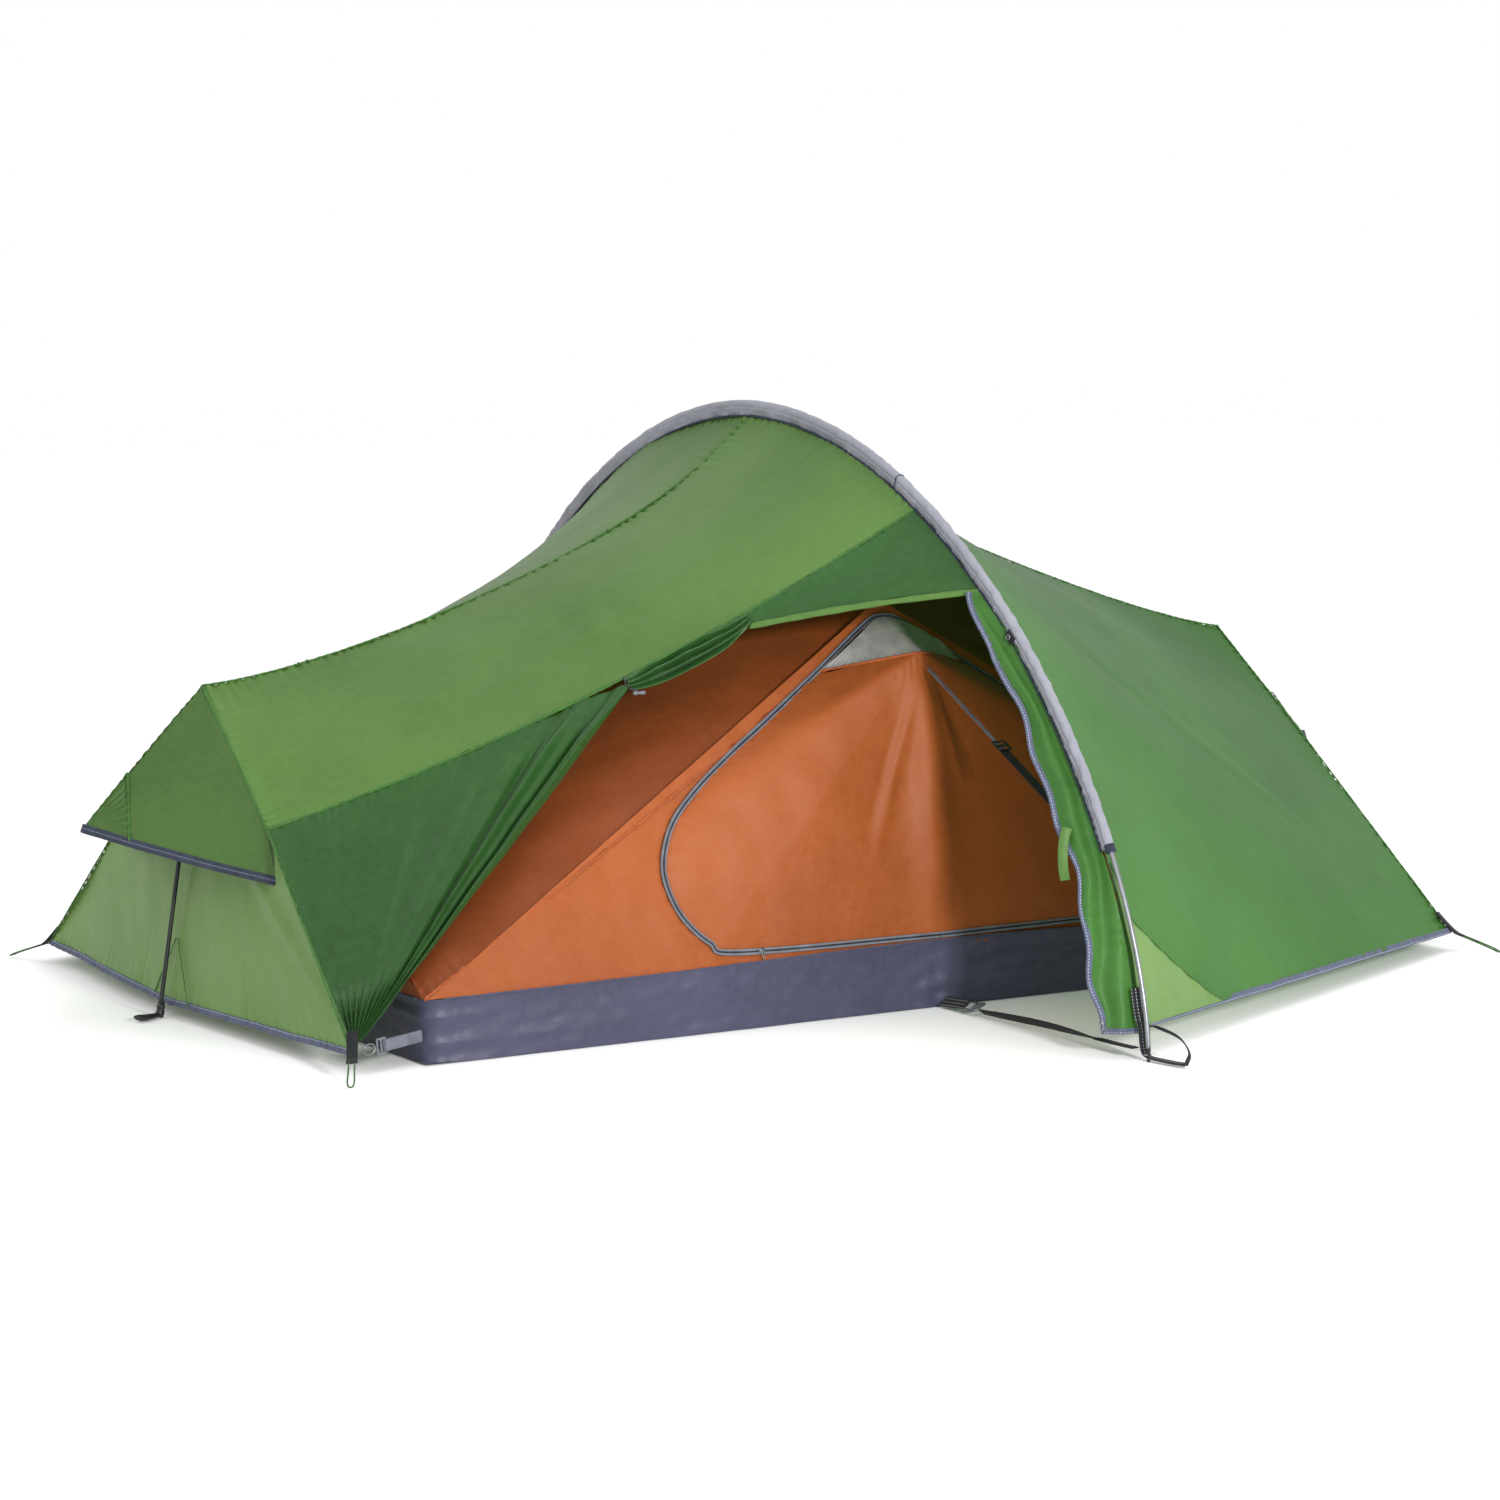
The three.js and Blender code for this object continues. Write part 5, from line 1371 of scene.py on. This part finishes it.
def add_corner_strap(side, sy, end, half):
    """Grey webbing from an inner corner, doubled back through a ladder-lock that hooks onto a ring."""
    start = np.array((side * (FLOOR_HALF_LENGTH + 0.001), sy * (FLOOR_HALF_WIDTH - 0.022), 0.052))
    finish = flipped(CORNER, side, sy) + (-side * 0.034, -sy * 0.020, 0)
    way = unit(finish - start)
    out = unit(np.cross(way, (0, 0, 1))) * side * sy
    out = out if out[1] * sy > 0 else -out

    def lengthwise(a, b, count):
        return mix(start, finish, np.linspace(a, b, count))

    name = f"corner_strap_{end}_{half}"
    strap = lengthwise(-0.06, 0.66, 30)
    made = tape(f"{name}_cloth", strap, out, 0.0215, 0.0020, WEB_GREY, wave=0.0005, seed=221)
    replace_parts(made, name)
    tail = lengthwise(0.22, 0.64, 24) + out * 0.0028
    tape(f"{name}_tail", tail, out, 0.0205, 0.0016, WEB_GREY, wave=0.0008, seed=222)
    rise = unit(np.cross(way, out))
    middle = mix(start, finish, 0.70)
    for share, k in ((-0.0085, "near"), (0.0, "mid"), (0.0085, "far")):
        bar = middle + way * share + np.outer(np.linspace(-0.0135, 0.0135, 12), rise)
        piece(swept(f"{name}_bar_{k}", bar, round_section(0.0021, 10), out, GREY_PLASTIC))
    for aside, k in ((-0.0135, "low"), (0.0135, "high")):
        bar = middle + rise * aside + np.outer(np.linspace(-0.0100, 0.0100, 12), way)
        piece(swept(f"{name}_rail_{k}", bar, round_section(0.0022, 10), out, GREY_PLASTIC))
    turn = np.linspace(0, 2 * np.pi, 33)
    ring = mix(start, finish, 0.92) + np.outer(np.cos(turn), way) * 0.0125
    ring = ring + np.outer(np.sin(turn), rise) * 0.0095
    piece(swept(f"{name}_ring", ring, round_section(0.0016, 10), out, GREY_METAL, caps=False))


def add_end_pole_shoe(side, end):
    """The shoe: a ribbed cup round the pole's end and a toe that spreads flat on the ground."""
    body, node = f"end_pole_{end}", f"end_pole_shoe_{end}"
    foot = flipped((1.3095, 0, 0.0016), side, 1)
    lean = unit(flipped((1.213, 0, 0.605), side, 1) - foot)
    height = np.array([0.0005, 0.002, 0.008, 0.013, 0.0135, 0.018, 0.0185, 0.023, 0.0235, 0.030, 0.0305])
    radius = np.array([0.0062, 0.0078, 0.0082, 0.0082, 0.0074, 0.0074, 0.0080, 0.0078, 0.0068, 0.0064,
                       0.0050])
    section = round_section(1.0, 24)[None] * radius[:, None, None]
    cup = foot + lean * height[:, None]
    made = piece(swept(f"shoe_cup_{end}", cup, section, (0, 1, 0), PLASTIC), body, node)
    knots = [foot + (side * 0.002, 0, 0.0052), foot + (side * 0.022, -0.009, 0.0050),
             foot + (side * 0.044, -0.021, 0.0066),
             foot + (side * 0.0585, -0.0285, 0.0100)]
    line = smooth_line(knots, 30)
    t = np.linspace(0, 1, 30)
    half_width = 0.0065 + 0.0042 * np.sin(np.pi * t**1.4)
    half_height = 0.0042 + 0.0022 * t - 0.0035 * np.clip(t - 0.85, 0, 1) / 0.15
    size = np.stack([half_width, half_height], axis=-1)
    turn = np.linspace(0, 2 * np.pi, 16, endpoint=False)
    circle = np.stack([np.cos(turn), np.sin(turn)], axis=-1)
    oval = np.sign(circle) * np.abs(circle) ** 0.7
    piece(swept(f"shoe_toe_{end}", line, oval[None] * size[:, None], (0, 0, 1), PLASTIC), body)
    return made


def add_arch_foot(front, name):
    """Black webbing down from the hem to the pole's eyelet, and out into a folded pegging loop."""
    def at(x, y, z):
        return x / 1000, -front * y / 1000, z / 1000

    inside = [at(0, 1335, 118), at(0, 1349, 62), at(0, 1356, 22), at(2, 1368, 9), at(8, 1410, 7),
              at(17, 1460, 7)]
    over = [at(17, 1460, 8), at(31, 1450, 26), at(32, 1418, 48), at(26, 1362, 58), at(8, 1349, 62)]
    node = f"arch_foot_webbing_{name}"
    made = tape(f"foot_web_{name}", smooth_line(inside, 90), (0.05, -front, 0.6), 0.014, 0.0026, WEB_STITCHED,
                wave=0.0006, seed=231)
    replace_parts(made, node)
    tape(f"foot_loop_{name}", smooth_line(over, 70), (1, -front * 0.6, 0.8), 0.011, 0.0024, WEB_BLACK,
         wave=0.0006, seed=232)
    pad = [at(0, 1331, 128), at(0, 1338, 96), at(0, 1347, 68)]
    line = smooth_line(pad, 24) + (0, -front * 0.003, 0)
    tape(f"foot_patch_{name}", line, (0, -front, 0.3), 0.022, 0.003, WEB_STITCHED)
    turn = np.linspace(0, 2 * np.pi, 33)
    circle = arr(0.0062 * np.cos(turn), front * 0.0062 * np.sin(turn), 0 * turn)
    grommet = np.array(at(1, 1366, 12.5)) + circle
    wire = round_section(0.0018, 10)
    made = swept(f"foot_grommet_{name}", grommet, wire, (0, 0, 1), GREY_METAL, caps=False)
    piece(made)


def add_flap_tab():
    """The pale tab on the flap's free edge that takes the door's toggle."""
    edge = flap_point(np.array(0.575), np.array(1.0))
    knots = [edge + (-0.002, 0.002, 0.035), edge + (-0.010, 0.002, 0.010), edge + (-0.012, 0.0, -0.030),
             edge + (-0.006, 0.0, -0.060)]
    made = tape("flap_tab", smooth_line(knots, 40), (-0.6, -0.8, 0), 0.018, 0.0022, FLY, wave=0.002, seed=241)


def add_toggle_loop():
    """Elastic from the roof's seam that holds the toggle through the gathered door."""
    tie = roof_seam_point(-1, np.array(DOOR_TIE))
    toggle = tie + (0.008, -0.044, -0.024)
    for aside, name in ((-0.003, "left"), (0.003, "right")):
        knots = [tie + (aside, -0.002, 0.001), tie + (aside, -0.018, -0.016),
                 toggle + (aside * 0.5, 0.013, 0.001)]
        knots.append(toggle + (aside * 0.3, 0.0046, 0))
        elastic = round_section(0.0013, 8)
        made = swept(f"toggle_loop_{name}", smooth_line(knots, 30), elastic, (1, 0, 0), SHOCK_CORD)
        piece(made)


for side_now, end_now in ((-1, "left"), (1, "right")):
    for sy_now, half_now in ((-1, "front"), (1, "back")):
        add_corner_strap(side_now, sy_now, end_now, half_now)
    add_end_pole_shoe(side_now, end_now)
add_flap_tab()
add_toggle_loop()
for front_now, half_now in ((1, "front"), (-1, "back")):
    add_tension_band(front_now, half_now)
    add_arch_foot(front_now, half_now)
    add_floor_strap(front_now, half_now)
    add_floor_buckle(front_now, half_now)
    add_guy_point(front_now, half_now)
add_arch_patch(1, 1, "right_front")
add_arch_patch(1, -1, "right_back")
add_arch_patch(-1, -1, "left_back")


# ---- finishes on the CAD pieces that stay ---------------------------------------------------------
def finish_cad_nodes():
    """The hard parts that are shown as the CAD frame has them."""
    finishes = [
        ("arch_section", ALLOY), ("arch_shock_cord", SHOCK_CORD), ("arch_tip", POLE_BLACK),
        ("end_pole", POLE_BLACK), ("tension_adjuster", PLASTIC), ("door_toggle", GREY_PLASTIC),
    ]
    for name, node in nodes.items():
        if node.hide_render:
            continue
        paint = next((m for start, m in finishes if name.startswith(start)), None)
        if paint:
            node.data.materials.clear()
            node.data.materials.append(paint)


finish_cad_nodes()


# ---- floor and light ------------------------------------------------------------------------------
FLOOR_REACH = 30
LAMPS = (  # name, place, side of the square lamp, watts, what it points at
    ("key", (-0.92, -6.6, 2.0), 0.6, 300, (-0.1, -0.6, 0.4)),
    ("fill", (-6.5, -2.5, 4.0), 4.0, 60, (-0.6, 0, 0.4)),
    ("top", (1.5, -1.0, 6.5), 4.0, 70, (0, 0, 0)),
)


def add_studio():
    reach = FLOOR_REACH
    corners = [(-reach, -reach, 0), (reach, -reach, 0), (reach, reach, 0), (-reach, reach, 0)]
    floor = mesh_object("floor", corners, [[0, 1, 2, 3]], None, PALE)
    world = bpy.data.worlds.new("studio")
    bpy.context.scene.world = world
    world.use_nodes = True
    world.node_tree.nodes["Background"].inputs[0].default_value = (1, 1, 1, 1)
    world.node_tree.nodes["Background"].inputs[1].default_value = 1.0
    for name, place, size, power, target in LAMPS:
        data = bpy.data.lights.new(name, "AREA")
        data.size = size
        data.energy = power
        lamp = bpy.data.objects.new(name, data)
        bpy.context.scene.collection.objects.link(lamp)
        lamp.location = place
        lamp.rotation_euler = (Vector(target) - Vector(place)).to_track_quat("-Z", "Y").to_euler()
    bpy.context.scene.view_settings.view_transform = "Standard"


def pale_floor():
    s = Shader("studio_floor")
    s.set(Base_Color=(0.97, 0.97, 0.97, 1), Roughness=0.85)
    s.set(Emission_Color=(1, 1, 1, 1), Emission_Strength=0.045)
    return s.material


PALE = pale_floor()
add_studio()
